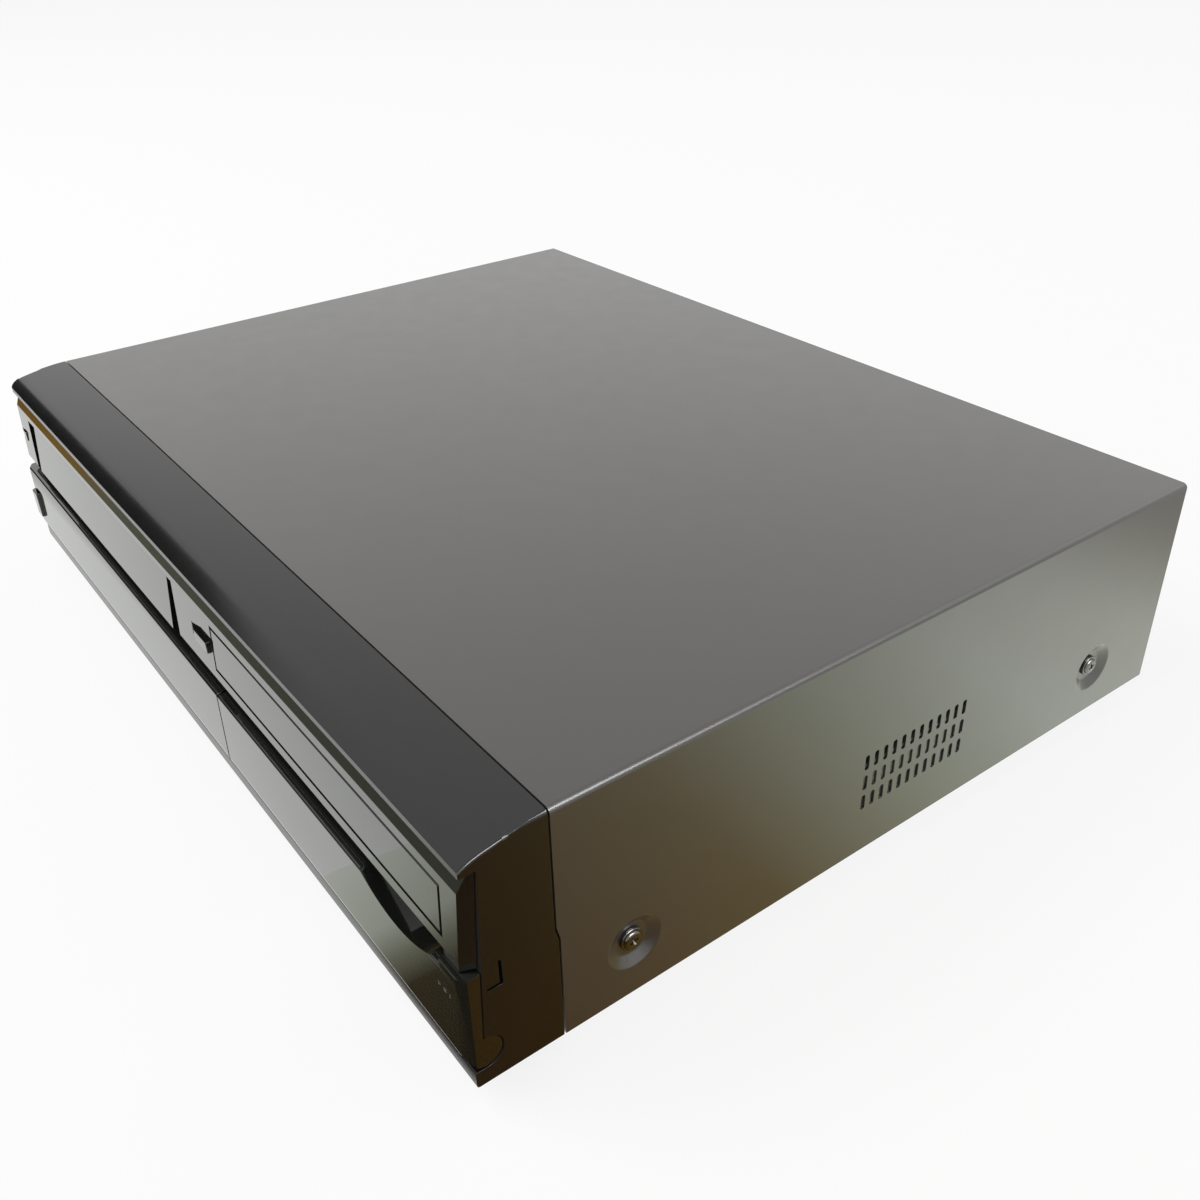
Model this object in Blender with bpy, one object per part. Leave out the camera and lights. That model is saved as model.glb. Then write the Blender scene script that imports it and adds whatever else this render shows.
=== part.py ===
"""Disc and cassette combination player, built as separate pieces that seat and move.

Run with: blender --background --python part.py
Lengths are in metres, +Z is up and the front faces -Y. The origin is at the middle of the
box under the feet. Inside the functions below, x is measured from the middle of the width,
y from the seam between the metal cover and the moulded front, and z from the cover's
bottom edge: the empty named body_frame carries that frame.
"""
import math

import bmesh
import bpy
from mathutils import Matrix, Vector

# Play, sheet and cutters
GAP = 0.0003
SHEET = 0.001
OVERRUN = 0.002
MOULD_WALL = 0.0022

# Widths across the front, left to right, which add up to the body's width
LEFT_MARGIN = 0.0105
MOUTH_WIDTH = 0.2049
PIER_WIDTH = 0.0381
DISC_OPENING_WIDTH = 0.1637
RIGHT_MARGIN = 0.0128
BODY_WIDTH = LEFT_MARGIN + MOUTH_WIDTH + PIER_WIDTH + DISC_OPENING_WIDTH + RIGHT_MARGIN
HALF_WIDTH = BODY_WIDTH / 2
MOUTH_X0 = LEFT_MARGIN - HALF_WIDTH
MOUTH_X1 = MOUTH_X0 + MOUTH_WIDTH
MOUTH_X = (MOUTH_X0 + MOUTH_X1) / 2
DISC_X0 = MOUTH_X1 + PIER_WIDTH
DISC_X1 = DISC_X0 + DISC_OPENING_WIDTH
DISC_X = (DISC_X0 + DISC_X1) / 2

# Heights up the front, bottom to top, which add up to the cover's height
LEDGE_Z = 0.041
GROOVE_HEIGHT = 0.0045
MOUTH_HEIGHT = 0.0253
BROW_HEIGHT = 0.0112
LIP_THICKNESS = 0.0023
TOP_FALL = 0.0057
PANEL_FOOT_Z = LEDGE_Z + GROOVE_HEIGHT
MOUTH_TOP_Z = PANEL_FOOT_Z + MOUTH_HEIGHT
LIP_UNDER_Z = MOUTH_TOP_Z + BROW_HEIGHT
COVER_HEIGHT = LIP_UNDER_Z + LIP_THICKNESS + TOP_FALL

# Lengths from front to back
MECHANISM_BAY = 0.190
DISK_DEPTH = 0.1016
DISK_CLEARANCE = 0.001
BOARD_BAY_MARGIN = 0.0084
BOARD_BAY = DISK_DEPTH + BOARD_BAY_MARGIN
COVER_LENGTH = MECHANISM_BAY + BOARD_BAY
LIP_REACH = 0.029
UPPER_REACH = 0.02813
UPPER_RAKE = 0.05
LOWER_REACH = 0.0316
LOWER_RAKE = 0.02
BUTTON_STAND = 0.0014
JACK_REACH = 0.009
FOOT_HEIGHT = 0.009

# Moulded front: the raked wall, the hinge cradle, the top and the ends
SEAM_GAP = 0.0006
SEAM_JOG = 0.0011
SEAM_JOG_FALL = 0.0045
TOP_BULGE = 0.0006
TOP_ROLL = 0.001
TOP_ROLL_SHARE = 0.75
TOP_STEPS = 12
LIP_GAP = 0.0005
WALL_TOP_REACH = 0.0235
HINGE_REACH = 0.0264
HINGE_Z = 0.0126
CRADLE_PLAY = 0.0004
FOOT_LIP_REACH = 0.0305
FOOT_LIP_ROUND = 0.001
CORNER_ROUND = 0.002
TONGUE_LENGTH = 0.006
TONGUE_INSET = 0.012
END_INSET = 0.0004
UPPER_END_CUT = 0.0044
LOWER_END_CUT = 0.0036
LOWER_END_DEPTH = 0.002
END_ROUND = 0.0012
EDGE_ROUND = 0.0008
SLOT_WIDTH = 0.001
SLOT_REACH = 0.0192
SLOT_TOP_RISE = 0.005
SLOT_DROP = 0.004
SLOT_LEG = 0.0052
STOP_WIDTH = 0.0025
STOP_INSET = 0.0008

# Upper front panel
CHAMFER_HEIGHT = 0.0079
CHAMFER_TOP_REACH = 0.0255
CHAMFER_TOP_DROP = 0.0011
PANEL_CROWN_REACH = 0.0251
END_DROP = 0.0012
DISC_SILL = 0.005
DISC_OPENING_HEIGHT = 0.0195
DISC_GAP = 0.0008
DISC_DOOR_THICKNESS = 0.0024

# Lower panels: the fixed display window and the hinged door
LOWER_SPLIT = 0.0015
LOWER_SEAM = 0.001
LEDGE_RISE = 0.0009
LOWER_WALL = 0.002
DOOR_ARC_END = 240.0
SCOOP_WIDTH = 0.043
SCOOP_DEPTH = 0.0055
SCOOP_FROM_END = 0.0391
END_BLOCK_WIDTH = 0.0125
END_BLOCK_RISE = 0.0025
END_BLOCK_INSET = 0.0001
PIN_RADIUS = 0.0013
PIN_PLAY = 0.0003
LUG_WIDTH = 0.0035
LUG_RADIUS = 0.003
LUG_ARM = 0.0014
SCOOP_BACK = 0.0008
SCOOP_WALL = 0.0018
DISPLAY_HEIGHT = 0.0150
DISPLAY_MARGIN = 0.022

# Cassette flap and its throat
FLAP_SIDE_GAP = 0.007
FLAP_TOP_GAP = 0.0005
FLAP_THICKNESS = 0.0026
FLAP_TOP_RECESS = 0.0007
FLAP_FOOT_PROUD = 0.0004
FLAP_CROWN_SHARE = 0.49
FLAP_HINGE_DROP = 0.0012
FLAP_HINGE_INSET = 0.0013
FLAP_PIN_RADIUS = 0.0009
EAR_RADIUS = 0.0018
EAR_WIDTH = 0.002
EAR_BASE = 0.004
EAR_ROOT_SHARE = 1.2
THROAT_WALL = 0.002
THROAT_HEADROOM = 0.0035
MOUTH_EASE = 0.0015
MOUTH_DIP = 0.0008

# Buttons
BUTTON_HEIGHT = 0.0048
BUTTON_RISE = 0.0087
BUTTON_PLAY = 0.0003
BUTTON_BACK_GAP = 0.0016
BUTTON_FLANK = 0.0055
STEM_WIDTH = 0.0030
STEM_HEIGHT = 0.0024
OPEN_BUTTON_WIDTH = 0.0175
OPEN_BUTTON_INSET = 0.0025
END_BUTTON_WIDTH = 0.0062
END_BUTTON_INSET = 0.0024
POWER_WIDTH = 0.0086
POWER_HEIGHT = 0.013
POWER_Z = 0.0225
SWITCH_PLANE = 0.0165
BUTTON_TRAVEL = 0.0008
BOARD_THICKNESS = 0.0016
BOARD_FOOT_Z = 0.008
BOARD_BOSS_RADIUS = 0.0025
BOARD_BOSS_INSET = 0.012

# Fixed front panel behind the door
PORT_MARGIN = 0.0075
PORT_FOOT_Z = 0.0212
PORT_HEIGHT = 0.0145
PORT_FLANGE = 0.0025
PORT_COUNT = 3
PORT_PITCH = 0.0125
PORT_START = 0.0085
PORT_SLEEVE = 0.0041
PORT_BORE = 0.0019
PORT_PROUD = 0.0015
PORT_BLOCK_DEPTH = 0.011
KEY_COUNT = 4
KEY_PITCH = 0.020
KEY_START = 0.068
KEY_WIDTH = 0.013
KEY_HEIGHT = 0.005
KEY_PROUD = 0.0012

# Metal cover
VENT_ROWS = 3
VENT_COLUMNS = 12
VENT_WIDTH = 0.002
VENT_HEIGHT = 0.0062
VENT_PITCH = 0.00455
VENT_ROW_PITCH = 0.00875
VENT_START_Y = 0.1276
VENT_FOOT_Z = 0.0197
VENT_STEPS = 2
DISH_RADIUS = 0.0102
DISH_FLOOR_RADIUS = 0.0060
DISH_DEPTH = 0.0025
SCREW_FRONT_Y = 0.0278
SCREW_FROM_BACK = 0.0401
SCREW_Z = 0.0213
SCREW_HEAD_RADIUS = 0.0042
SCREW_HEAD_HEIGHT = 0.0019
SCREW_SHANK_RADIUS = 0.0015
SCREW_LENGTH = 0.0045

# Base pan, feet and back
PAN_EDGE_HEIGHT = 0.035
PAN_FRONT_HEIGHT = 0.010
PAN_FRONT_Y = 0.004
PAN_SLOT_LENGTH = 0.030
PAN_SLOT_WIDTH = 0.003
PAN_SLOT_PITCH = 0.009
PAN_SLOT_COUNT = 6
PAN_SLOT_ROUND = 0.0012
FOOT_RADIUS = 0.013
FOOT_TAPER = 0.0015
FOOT_INSET_X = 0.040
FOOT_INSET_Y = 0.030
BACK_INSET = 0.0013

# Disc drive
TRAY_WIDTH = 0.130
TRAY_LENGTH = 0.172
TRAY_THICKNESS = 0.0065
TRAY_RISE = 0.0055
TRAY_PLAY = 0.0006
DISC_RADIUS = 0.0603
DISC_RECESS = 0.0016
DISC_RIM = 0.006
SMALL_DISC_RADIUS = 0.0405
SMALL_DISC_RECESS = 0.001
TRAY_SLOT_WIDTH = 0.048
TRAY_SLOT_LEAD = 0.021
TRAY_TAIL = 0.014
GEAR_MODULE = 0.001
PINION_TEETH = 14
RACK_HEIGHT = 0.003
RACK_BACK = 0.0025
RACK_INSET = 0.005
RACK_MARGIN = 0.008
PINION_LEAD_TEETH = 3
TOOTH_FOOT_SHARE = 0.248
TOOTH_TIP_SHARE = 0.10
TOOTH_REACH = 0.0008
DRIVE_WIDTH = 0.148
DRIVE_LENGTH = 0.190
DRIVE_FRONT_Y = -0.020
DRIVE_DEPTH_BELOW = 0.018
DRIVE_HEADROOM = 0.008
DRIVE_WALL = 0.002
RAIL_GRIP = 0.002
RAIL_THICKNESS = 0.002
TRAVERSE_WIDTH = 0.088
TRAVERSE_LEAD = 0.028
TRAVERSE_TAIL = 0.100
TRAVERSE_SHELF = 0.006
MOTOR_RADIUS = 0.012
MOTOR_HEIGHT = 0.007
SPINDLE_RADIUS = 0.001
TURNTABLE_RADIUS = 0.0135
HUB_RADIUS = 0.0072
ROD_RADIUS = 0.0015
ROD_OFFSET = 0.016
SLED_LEAD = 0.024
SLED_LENGTH = 0.026
SLED_TRAVEL = 0.034
SLED_HEIGHT = 0.0065
LENS_RADIUS = 0.0035
LENS_HEIGHT = 0.002
ROD_BLOCK = 0.004
PUCK_RADIUS = 0.013
PUCK_NECK = 0.009
PUCK_THICKNESS = 0.002

# Tape deck
DECK_Z = 0.010
DECK_SHEET = 0.0012
DECK_FRONT_Y = 0.004
DECK_LENGTH = 0.180
DECK_CHEEK_RISE = 0.018
CARRIER_INSET = 0.00645
CARRIER_PLAY = 0.0035
CARRIER_FRONT_Y = 0.002
CARRIER_LENGTH = 0.106
CARRIER_RISE = 0.0012
CARRIER_HEIGHT = 0.028
CARRIER_FLANGE = 0.014
CARRIER_TRAVEL = 0.022
CARRIER_PIN_RADIUS = 0.0015
CARRIER_PIN_INSET = 0.020
CARRIER_PIN_RISE = 0.010
REEL_OFFSET = 0.0464
REEL_Y = 0.052
REEL_RADIUS = 0.016
REEL_FLANGE = 0.003
REEL_HUB = 0.006
REEL_HEIGHT = 0.0076
REEL_BORE = 0.0018
REEL_WINDOW = 0.014
DRUM_RADIUS = 0.031
DRUM_Y = 0.142
DRUM_TILT = -6.0
DRUM_FOOT = 0.006
DRUM_FOOT_SHARE = 0.8
DRUM_LOWER = 0.011
DRUM_UPPER = 0.016
DRUM_SHAFT = 0.003
CAPSTAN_X = 0.050
CAPSTAN_Y = 0.118
CAPSTAN_RADIUS = 0.0015
CAPSTAN_TOP = 0.030
FLYWHEEL_RADIUS = 0.020
FLYWHEEL_THICKNESS = 0.004
FLYWHEEL_DROP = 0.0025
ROLLER_RADIUS = 0.007
ROLLER_RISE = 0.013
ROLLER_HEIGHT = 0.014
ROLLER_POST = 0.0012
LOADER_RADIUS = 0.012
LOADER_LENGTH = 0.030
LOADER_INSET = 0.0295
LOADER_Y = 0.166

# Boards, disk, fan and the sockets at the back
POST_RADIUS = 0.003
BOARD_Z = 0.008
BOARD_EDGE = 0.004
MAIN_BOARD_WIDTH = 0.196
MAIN_BOARD_INSET = 0.010
POWER_BOARD_WIDTH = 0.100
REAR_BOARD_DEPTH = 0.094
REAR_BOARD_INSET = 0.008
CHIP_SIZE = 0.022
CHIP_HEIGHT = 0.002
CHIP_SHARES = (0.25, 0.5, 0.75)
COIL_SIZE = 0.030
COIL_HEIGHT = 0.024
CAN_RADIUS = 0.009
CAN_HEIGHT = 0.028
DISK_WIDTH = 0.147
DISK_HEIGHT = 0.026
BRACKET_Z = 0.038
BRACKET_INSET = 0.0075
BRACKET_DEPTH = 0.088
FAN_SIZE = 0.060
FAN_DEPTH = 0.015
FAN_X = -0.065
FAN_Z = 0.046
FAN_BORE = 0.028
FAN_HUB = 0.0125
FAN_BLADES = 7
FAN_BLADE_WIDTH = 0.009
FAN_BLADE_THICKNESS = 0.0012
FAN_BLADE_PITCH = 35.0
FAN_STRUTS = 3
FAN_STRUT = 0.003
GRILLE_SHARES = (0.62, 0.88)
GRILLE_SLOTS = 4
GRILLE_SLOT_HALF = 0.002
GRILLE_SWEEP = 66.0
GRILLE_STEPS = 8
INLET_X = -0.180
INLET_Z = 0.030
INLET_WIDTH = 0.026
INLET_HEIGHT = 0.018
INLET_WALL = 0.002
INLET_DEPTH = 0.016
INLET_PROUD = 0.0015
INLET_PIN = 0.001
RCA_X = 0.105
RCA_Z = 0.034
RCA_COLUMNS = 5
RCA_ROWS = 2
RCA_PITCH = 0.017
RCA_SLEEVE = 0.00415
RCA_BORE = 0.0019
RCA_BLOCK_DEPTH = 0.014
AERIAL_X = -0.012
AERIAL_Z = 0.030
AERIAL_RADIUS = 0.0048
AERIAL_PITCH = 0.020
AERIAL_WIDTH = 0.018
AERIAL_DEPTH = 0.030
SOCKET_Z = 0.0165
LAN_X = 0.178
LAN_WIDTH = 0.016
LAN_HEIGHT = 0.0135
LAN_DEPTH = 0.016
LAN_WALL = 0.0015
HDMI_X = 0.060
HDMI_WIDTH = 0.0155
HDMI_HEIGHT = 0.0062
HDMI_DEPTH = 0.011
HDMI_WALL = 0.0006

# Facets of round shapes
FINE_SIDES = 36
ROUND_SIDES = 20
SMALL_SIDES = 12
POST_SIDES = 6
CORNER_STEPS = 4
SHARP_ANGLE = 35.0

PANEL_TOP_Z = LIP_UNDER_Z - LIP_GAP
UPPER_MARK_Z = PANEL_TOP_Z - CHAMFER_HEIGHT
LOWER_MARK_Z = LEDGE_Z
DOOR_ROUND = LOWER_REACH + LOWER_RAKE * (LOWER_MARK_Z - HINGE_Z) - HINGE_REACH
CRADLE_RADIUS = DOOR_ROUND + CRADLE_PLAY
PANEL_END_X = HALF_WIDTH - END_INSET
SPLIT_X = DISC_X0 + LOWER_SPLIT
DISC_FOOT_Z = PANEL_FOOT_Z + DISC_SILL
DISC_TOP_Z = DISC_FOOT_Z + DISC_OPENING_HEIGHT
BUTTON_Z = DISC_FOOT_Z + BUTTON_RISE
TRAY_FOOT_Z = DISC_FOOT_Z + TRAY_RISE
TRAY_TOP_Z = TRAY_FOOT_Z + TRAY_THICKNESS
DRIVE_FLOOR_Z = TRAY_FOOT_Z - DRIVE_DEPTH_BELOW
DRIVE_TOP_Z = TRAY_TOP_Z + DRIVE_HEADROOM
CARRIER_Z = LEDGE_Z + CARRIER_RISE
DECK_TOP_Z = DECK_Z + DECK_SHEET
DECK_X = MOUTH_X
CARRIER_HALF = MOUTH_WIDTH / 2 - CARRIER_INSET
DECK_HALF = CARRIER_HALF + CARRIER_PLAY
PINION_RADIUS = GEAR_MODULE * PINION_TEETH / 2
BACK_Y = COVER_LENGTH - BACK_INSET
MOUTH_FLOOR_Z = LEDGE_Z - MOUTH_DIP
FLAP_TOP_Z = MOUTH_TOP_Z - FLAP_TOP_GAP
FLAP_HINGE_Z = FLAP_TOP_Z - FLAP_HINGE_DROP
FRONT_REACH = LOWER_REACH + LOWER_RAKE * (LOWER_MARK_Z - POWER_Z) + BUTTON_STAND
SEAM_Y = (FRONT_REACH - COVER_LENGTH - JACK_REACH) / 2

LOOKS = {
    "painted_steel": ((0.13, 0.12, 0.11), 0.45, 0.3),
    "zinc_steel": ((0.55, 0.56, 0.56), 0.38, 0.9),
    "dark_moulding": ((0.035, 0.033, 0.030), 0.35, 0.0),
    "gloss_moulding": ((0.10, 0.10, 0.09), 0.12, 0.0),
    "black_moulding": ((0.012, 0.012, 0.013), 0.4, 0.0),
    "rubber": ((0.02, 0.02, 0.02), 0.8, 0.0),
    "board": ((0.03, 0.13, 0.06), 0.5, 0.0),
    "steel": ((0.62, 0.62, 0.60), 0.25, 1.0),
    "white_moulding": ((0.75, 0.75, 0.72), 0.45, 0.0),
}


# Outlines: lists of (a, b) points in a plane
def rounded(corners, steps=CORNER_STEPS):
    """Return the outline through corners (a, b, radius) with an arc at each round one."""
    points = []
    for index, (a, b, radius) in enumerate(corners):
        corner = Vector((a, b))
        if radius <= 0:
            points.append((a, b))
            continue
        before = (Vector(corners[index - 1][:2]) - corner).normalized()
        after = (Vector(corners[(index + 1) % len(corners)][:2]) - corner).normalized()
        half = before.angle(after) / 2
        centre = corner + (before + after).normalized() * (radius / math.sin(half))
        first = corner + before * (radius / math.tan(half)) - centre
        last = corner + after * (radius / math.tan(half)) - centre
        start = math.atan2(first.y, first.x)
        sweep = (math.atan2(last.y, last.x) - start + math.pi) % (2 * math.pi) - math.pi
        points += arc(centre, radius, math.degrees(start), math.degrees(start + sweep), steps)
    return points


def arc(centre, radius, start, stop, steps):
    """Return points on an arc from start to stop, in degrees."""
    turns = [math.radians(start + (stop - start) * step / steps) for step in range(steps + 1)]
    return [(centre[0] + radius * math.cos(t), centre[1] + radius * math.sin(t)) for t in turns]


def plain(points):
    """Return points as corners without a radius."""
    return [(a, b, 0.0) for a, b in points]


def rectangle(a0, a1, b0, b1, radius=0.0, steps=CORNER_STEPS):
    """Return a rectangle's outline, with round corners where radius is not zero."""
    return rounded([(a0, b0, radius), (a1, b0, radius), (a1, b1, radius), (a0, b1, radius)], steps)


def ring(centre, radius, sides):
    """Return a circle's outline."""
    turns = [2 * math.pi * step / sides for step in range(sides)]
    return [(centre[0] + radius * math.cos(t), centre[1] + radius * math.sin(t)) for t in turns]


# Forms: each returns one closed body as a bmesh
def on_axis(axis, a, b, along):
    """Return the point that lies at (a, b) in the plane square to axis."""
    return Vector({"X": (along, a, b), "Y": (a, along, b), "Z": (a, b, along)}[axis])


def prism(outline, axis, start, stop):
    """Return the outline pushed along axis from start to stop."""
    form = bmesh.new()
    face = form.faces.new([form.verts.new(on_axis(axis, a, b, start)) for a, b in outline])
    grown = bmesh.ops.extrude_face_region(form, geom=[face])["geom"]
    far = [item for item in grown if isinstance(item, bmesh.types.BMVert)]
    bmesh.ops.translate(form, vec=on_axis(axis, 0, 0, stop - start), verts=far)
    bmesh.ops.recalc_face_normals(form, faces=form.faces)
    return form


def block(across, deep, high):
    """Return a box from three (start, stop) spans."""
    return prism(rectangle(*across, *deep), "Z", *high)


def rod(axis, centre, radius, start, stop, sides=SMALL_SIDES):
    """Return a cylinder along axis."""
    return prism(ring(centre, radius, sides), axis, start, stop)


def cone(axis, centre, radii, start, stop, sides=ROUND_SIDES):
    """Return a cone frustum along axis, from radii[0] at start to radii[1] at stop."""
    form = bmesh.new()
    ends = []
    for radius, along in ((radii[0], start), (radii[1], stop)):
        ends.append([form.verts.new(on_axis(axis, a, b, along)) for a, b in ring(centre, radius, sides)])
    for index in range(sides):
        after = (index + 1) % sides
        form.faces.new((ends[0][index], ends[0][after], ends[1][after], ends[1][index]))
    form.faces.new(ends[0])
    form.faces.new(ends[1])
    bmesh.ops.recalc_face_normals(form, faces=form.faces)
    return form


def turned(profile, axis, centre, sides=ROUND_SIDES):
    """Return the body that a closed profile of (radius, along) makes, turned about axis."""
    form = bmesh.new()
    verts = [form.verts.new((radius, 0, along)) for radius, along in profile]
    edges = [form.edges.new((verts[i - 1], verts[i])) for i in range(len(verts))
             if profile[i - 1][0] > 0 or profile[i][0] > 0]
    bmesh.ops.spin(form, geom=verts + edges, axis=(0, 0, 1), cent=(0, 0, 0), steps=sides,
                   angle=2 * math.pi, use_merge=True, use_duplicate=False)
    bmesh.ops.remove_doubles(form, verts=form.verts, dist=1e-6)
    bmesh.ops.recalc_face_normals(form, faces=form.faces)
    turns = {"X": Matrix.Rotation(math.pi / 2, 4, "Y"), "Y": Matrix.Rotation(-math.pi / 2, 4, "X"),
             "Z": Matrix.Identity(4)}
    bmesh.ops.transform(form, matrix=Matrix.Translation(centre) @ turns[axis], verts=form.verts)
    return form


def moved(form, matrix):
    """Return the form after a move."""
    bmesh.ops.transform(form, matrix=matrix, verts=form.verts)
    return form


# Objects
def merge(name, forms):
    """Return one mesh that holds all the forms."""
    whole = bmesh.new()
    for form in forms:
        part = bpy.data.meshes.new(name)
        form.to_mesh(part)
        form.free()
        whole.from_mesh(part)
        bpy.data.meshes.remove(part)
    mesh = bpy.data.meshes.new(name)
    whole.to_mesh(mesh)
    whole.free()
    return mesh


def make_finish(name, look):
    """Return the piece's own material."""
    colour, roughness, metallic = LOOKS[look]
    finish = bpy.data.materials.new(name + "_finish")
    finish.use_nodes = True
    shader = finish.node_tree.nodes["Principled BSDF"]
    shader.inputs["Base Color"].default_value = (*colour, 1.0)
    shader.inputs["Roughness"].default_value = roughness
    shader.inputs["Metallic"].default_value = metallic
    finish.diffuse_color = (*colour, 1.0)
    return finish


def piece(name, look, *forms, smooth=False):
    """Make one named object from forms, in the body frame."""
    obj = bpy.data.objects.new(name, merge(name, forms))
    bpy.context.scene.collection.objects.link(obj)
    obj.parent = bpy.data.objects["body_frame"]
    obj.data.materials.append(make_finish(name, look))
    if smooth:
        obj.data.shade_smooth()
        obj.data.set_sharp_from_angle(angle=math.radians(SHARP_ANGLE))
    return obj


def combine(target, operation, forms):
    """Add a Boolean with the forms as its guide."""
    name = target.name + "_" + operation.lower()
    guide = bpy.data.objects.new(name, merge(name, forms))
    bpy.context.scene.collection.objects.link(guide)
    guide.parent = target.parent
    guide.hide_render = True
    guide.display_type = "WIRE"
    step = target.modifiers.new(operation.title(), "BOOLEAN")
    step.operation = operation
    step.solver = "EXACT"
    step.object = guide


def carve(target, *forms):
    """Cut the forms out of the target."""
    combine(target, "DIFFERENCE", forms)


def weld(target, *forms):
    """Join the forms to the target."""
    combine(target, "UNION", forms)


def keep_inside(target, *forms):
    """Keep only what lies inside the forms."""
    combine(target, "INTERSECT", forms)


def set_pivot(obj, point):
    """Move the object's origin to point and leave its shape in place."""
    shift = Vector(point)
    obj.data.transform(Matrix.Translation(-shift))
    obj.location = shift
    return obj


# Shared curves of the moulded front
def top_z(y):
    """Return the height of the front's top at depth y, which rolls over near the front edge."""
    share = -y / LIP_REACH
    roll_share = max(share - TOP_ROLL_SHARE, 0) / (1 - TOP_ROLL_SHARE)
    crown = 4 * TOP_BULGE * share * (1 - share)
    return COVER_HEIGHT - (TOP_FALL - TOP_ROLL) * share + crown - TOP_ROLL * roll_share ** 2


def wall_y(z):
    """Return the outer face of the front wall at height z."""
    low = HINGE_Z + CRADLE_RADIUS
    share = (z - low) / (LIP_UNDER_Z - low)
    return -HINGE_REACH + (HINGE_REACH - WALL_TOP_REACH) * share


def upper_y(z):
    """Return the face of the upper front panel at height z."""
    return -UPPER_REACH - UPPER_RAKE * (UPPER_MARK_Z - z)


def lower_y(z):
    """Return the face of the lower panels at height z."""
    return -LOWER_REACH - LOWER_RAKE * (LOWER_MARK_Z - z)


def top_curve(start, stop, drop):
    """Return points along the top, lowered by drop, from start to stop."""
    places = [start + (stop - start) * step / TOP_STEPS for step in range(TOP_STEPS + 1)]
    return [(y, top_z(y) - drop) for y in places]


def end_plan(cut, reach, depth):
    """Return the outline seen from above that slants a front panel's ends over depth."""
    near = PANEL_END_X - cut
    far = reach + OVERRUN
    half = [(near - cut, -far, 0.0), (near, -reach, END_ROUND), (PANEL_END_X, depth - reach, 0.0),
            (PANEL_END_X, OVERRUN, 0.0)]
    return rounded([(-a, b, r) for a, b, r in half] + half[::-1])


def lower_end_plan():
    """Return the outline seen from above of the lower panels' ends."""
    return end_plan(LOWER_END_CUT, -lower_y(LEDGE_Z), LOWER_END_DEPTH)


# Housing
def make_top_cover():
    """Bend the metal cover and press its screw dishes and vents."""
    outer = rounded([(-HALF_WIDTH, 0, 0), (-HALF_WIDTH, COVER_HEIGHT, CORNER_ROUND),
                     (HALF_WIDTH, COVER_HEIGHT, CORNER_ROUND), (HALF_WIDTH, 0, 0)])
    inside = HALF_WIDTH - SHEET
    inner = rounded([(-inside, -OVERRUN, 0), (-inside, COVER_HEIGHT - SHEET, CORNER_ROUND - SHEET),
                     (inside, COVER_HEIGHT - SHEET, CORNER_ROUND - SHEET), (inside, -OVERRUN, 0)])
    cover = piece("top_cover", "painted_steel", prism(outer, "Y", 0, COVER_LENGTH), smooth=True)
    carve(cover, prism(inner, "Y", -OVERRUN, COVER_LENGTH + OVERRUN))
    front = [(-OVERRUN, -OVERRUN), (SEAM_JOG, -OVERRUN)] + seam_jog(0) + [(-OVERRUN, seam_jog(0)[-1][1])]
    carve(cover, prism(front, "X", -HALF_WIDTH - OVERRUN, HALF_WIDTH + OVERRUN))
    backs, dishes = [], []
    for side, y in screw_places():
        face = side * HALF_WIDTH
        floor = side * (HALF_WIDTH - DISH_DEPTH)
        back = side * (HALF_WIDTH - DISH_DEPTH - SHEET)
        grow = SHEET / 2
        backs.append(cone("X", (y, SCREW_Z), (DISH_RADIUS + grow, DISH_FLOOR_RADIUS + grow),
                          face - side * SHEET / 2, back))
        dishes.append(turned(dish_cut(floor - face, back - face, side), "X", (face, y, SCREW_Z)))
    weld(cover, *backs)
    carve(cover, *dishes)
    carve(cover, *vent_slots())


def seam_jog(gap):
    """Return the step in the seam at the groove's height, from low to high, gap before the cover."""
    return [(SEAM_JOG - gap, PANEL_FOOT_Z - SEAM_JOG_FALL), (-gap, PANEL_FOOT_Z)]


def dish_cut(floor, back, side):
    """Return the profile that hollows a dish and bores its screw hole."""
    hole = SCREW_SHANK_RADIUS + GAP
    lead = side * SHEET / 2
    steep = (DISH_RADIUS - DISH_FLOOR_RADIUS) / DISH_DEPTH
    wide = DISH_RADIUS + steep * SHEET / 2
    end = back - side * OVERRUN
    return [(0, lead), (wide, lead), (DISH_FLOOR_RADIUS, floor), (hole, floor), (hole, end), (0, end)]


def screw_places():
    """Return the side and depth of each cover screw."""
    return [(side, y) for side in (-1, 1) for y in (SCREW_FRONT_Y, COVER_LENGTH - SCREW_FROM_BACK)]


def vent_slots():
    """Return one upright slot through each side wall for each place in the pattern."""
    slots = []
    radius = VENT_WIDTH / 2
    for side in (-1, 1):
        inner = side * (HALF_WIDTH - SHEET - OVERRUN)
        outer = side * (HALF_WIDTH + OVERRUN)
        for row in range(VENT_ROWS):
            foot = VENT_FOOT_Z + row * VENT_ROW_PITCH
            for column in range(VENT_COLUMNS):
                y = VENT_START_Y + column * VENT_PITCH
                low = arc((y, foot + radius), radius, 180, 360, VENT_STEPS)
                high = arc((y, foot + VENT_HEIGHT - radius), radius, 0, 180, VENT_STEPS)
                slots.append(prism(low + high, "X", inner, outer))
    return slots


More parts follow.
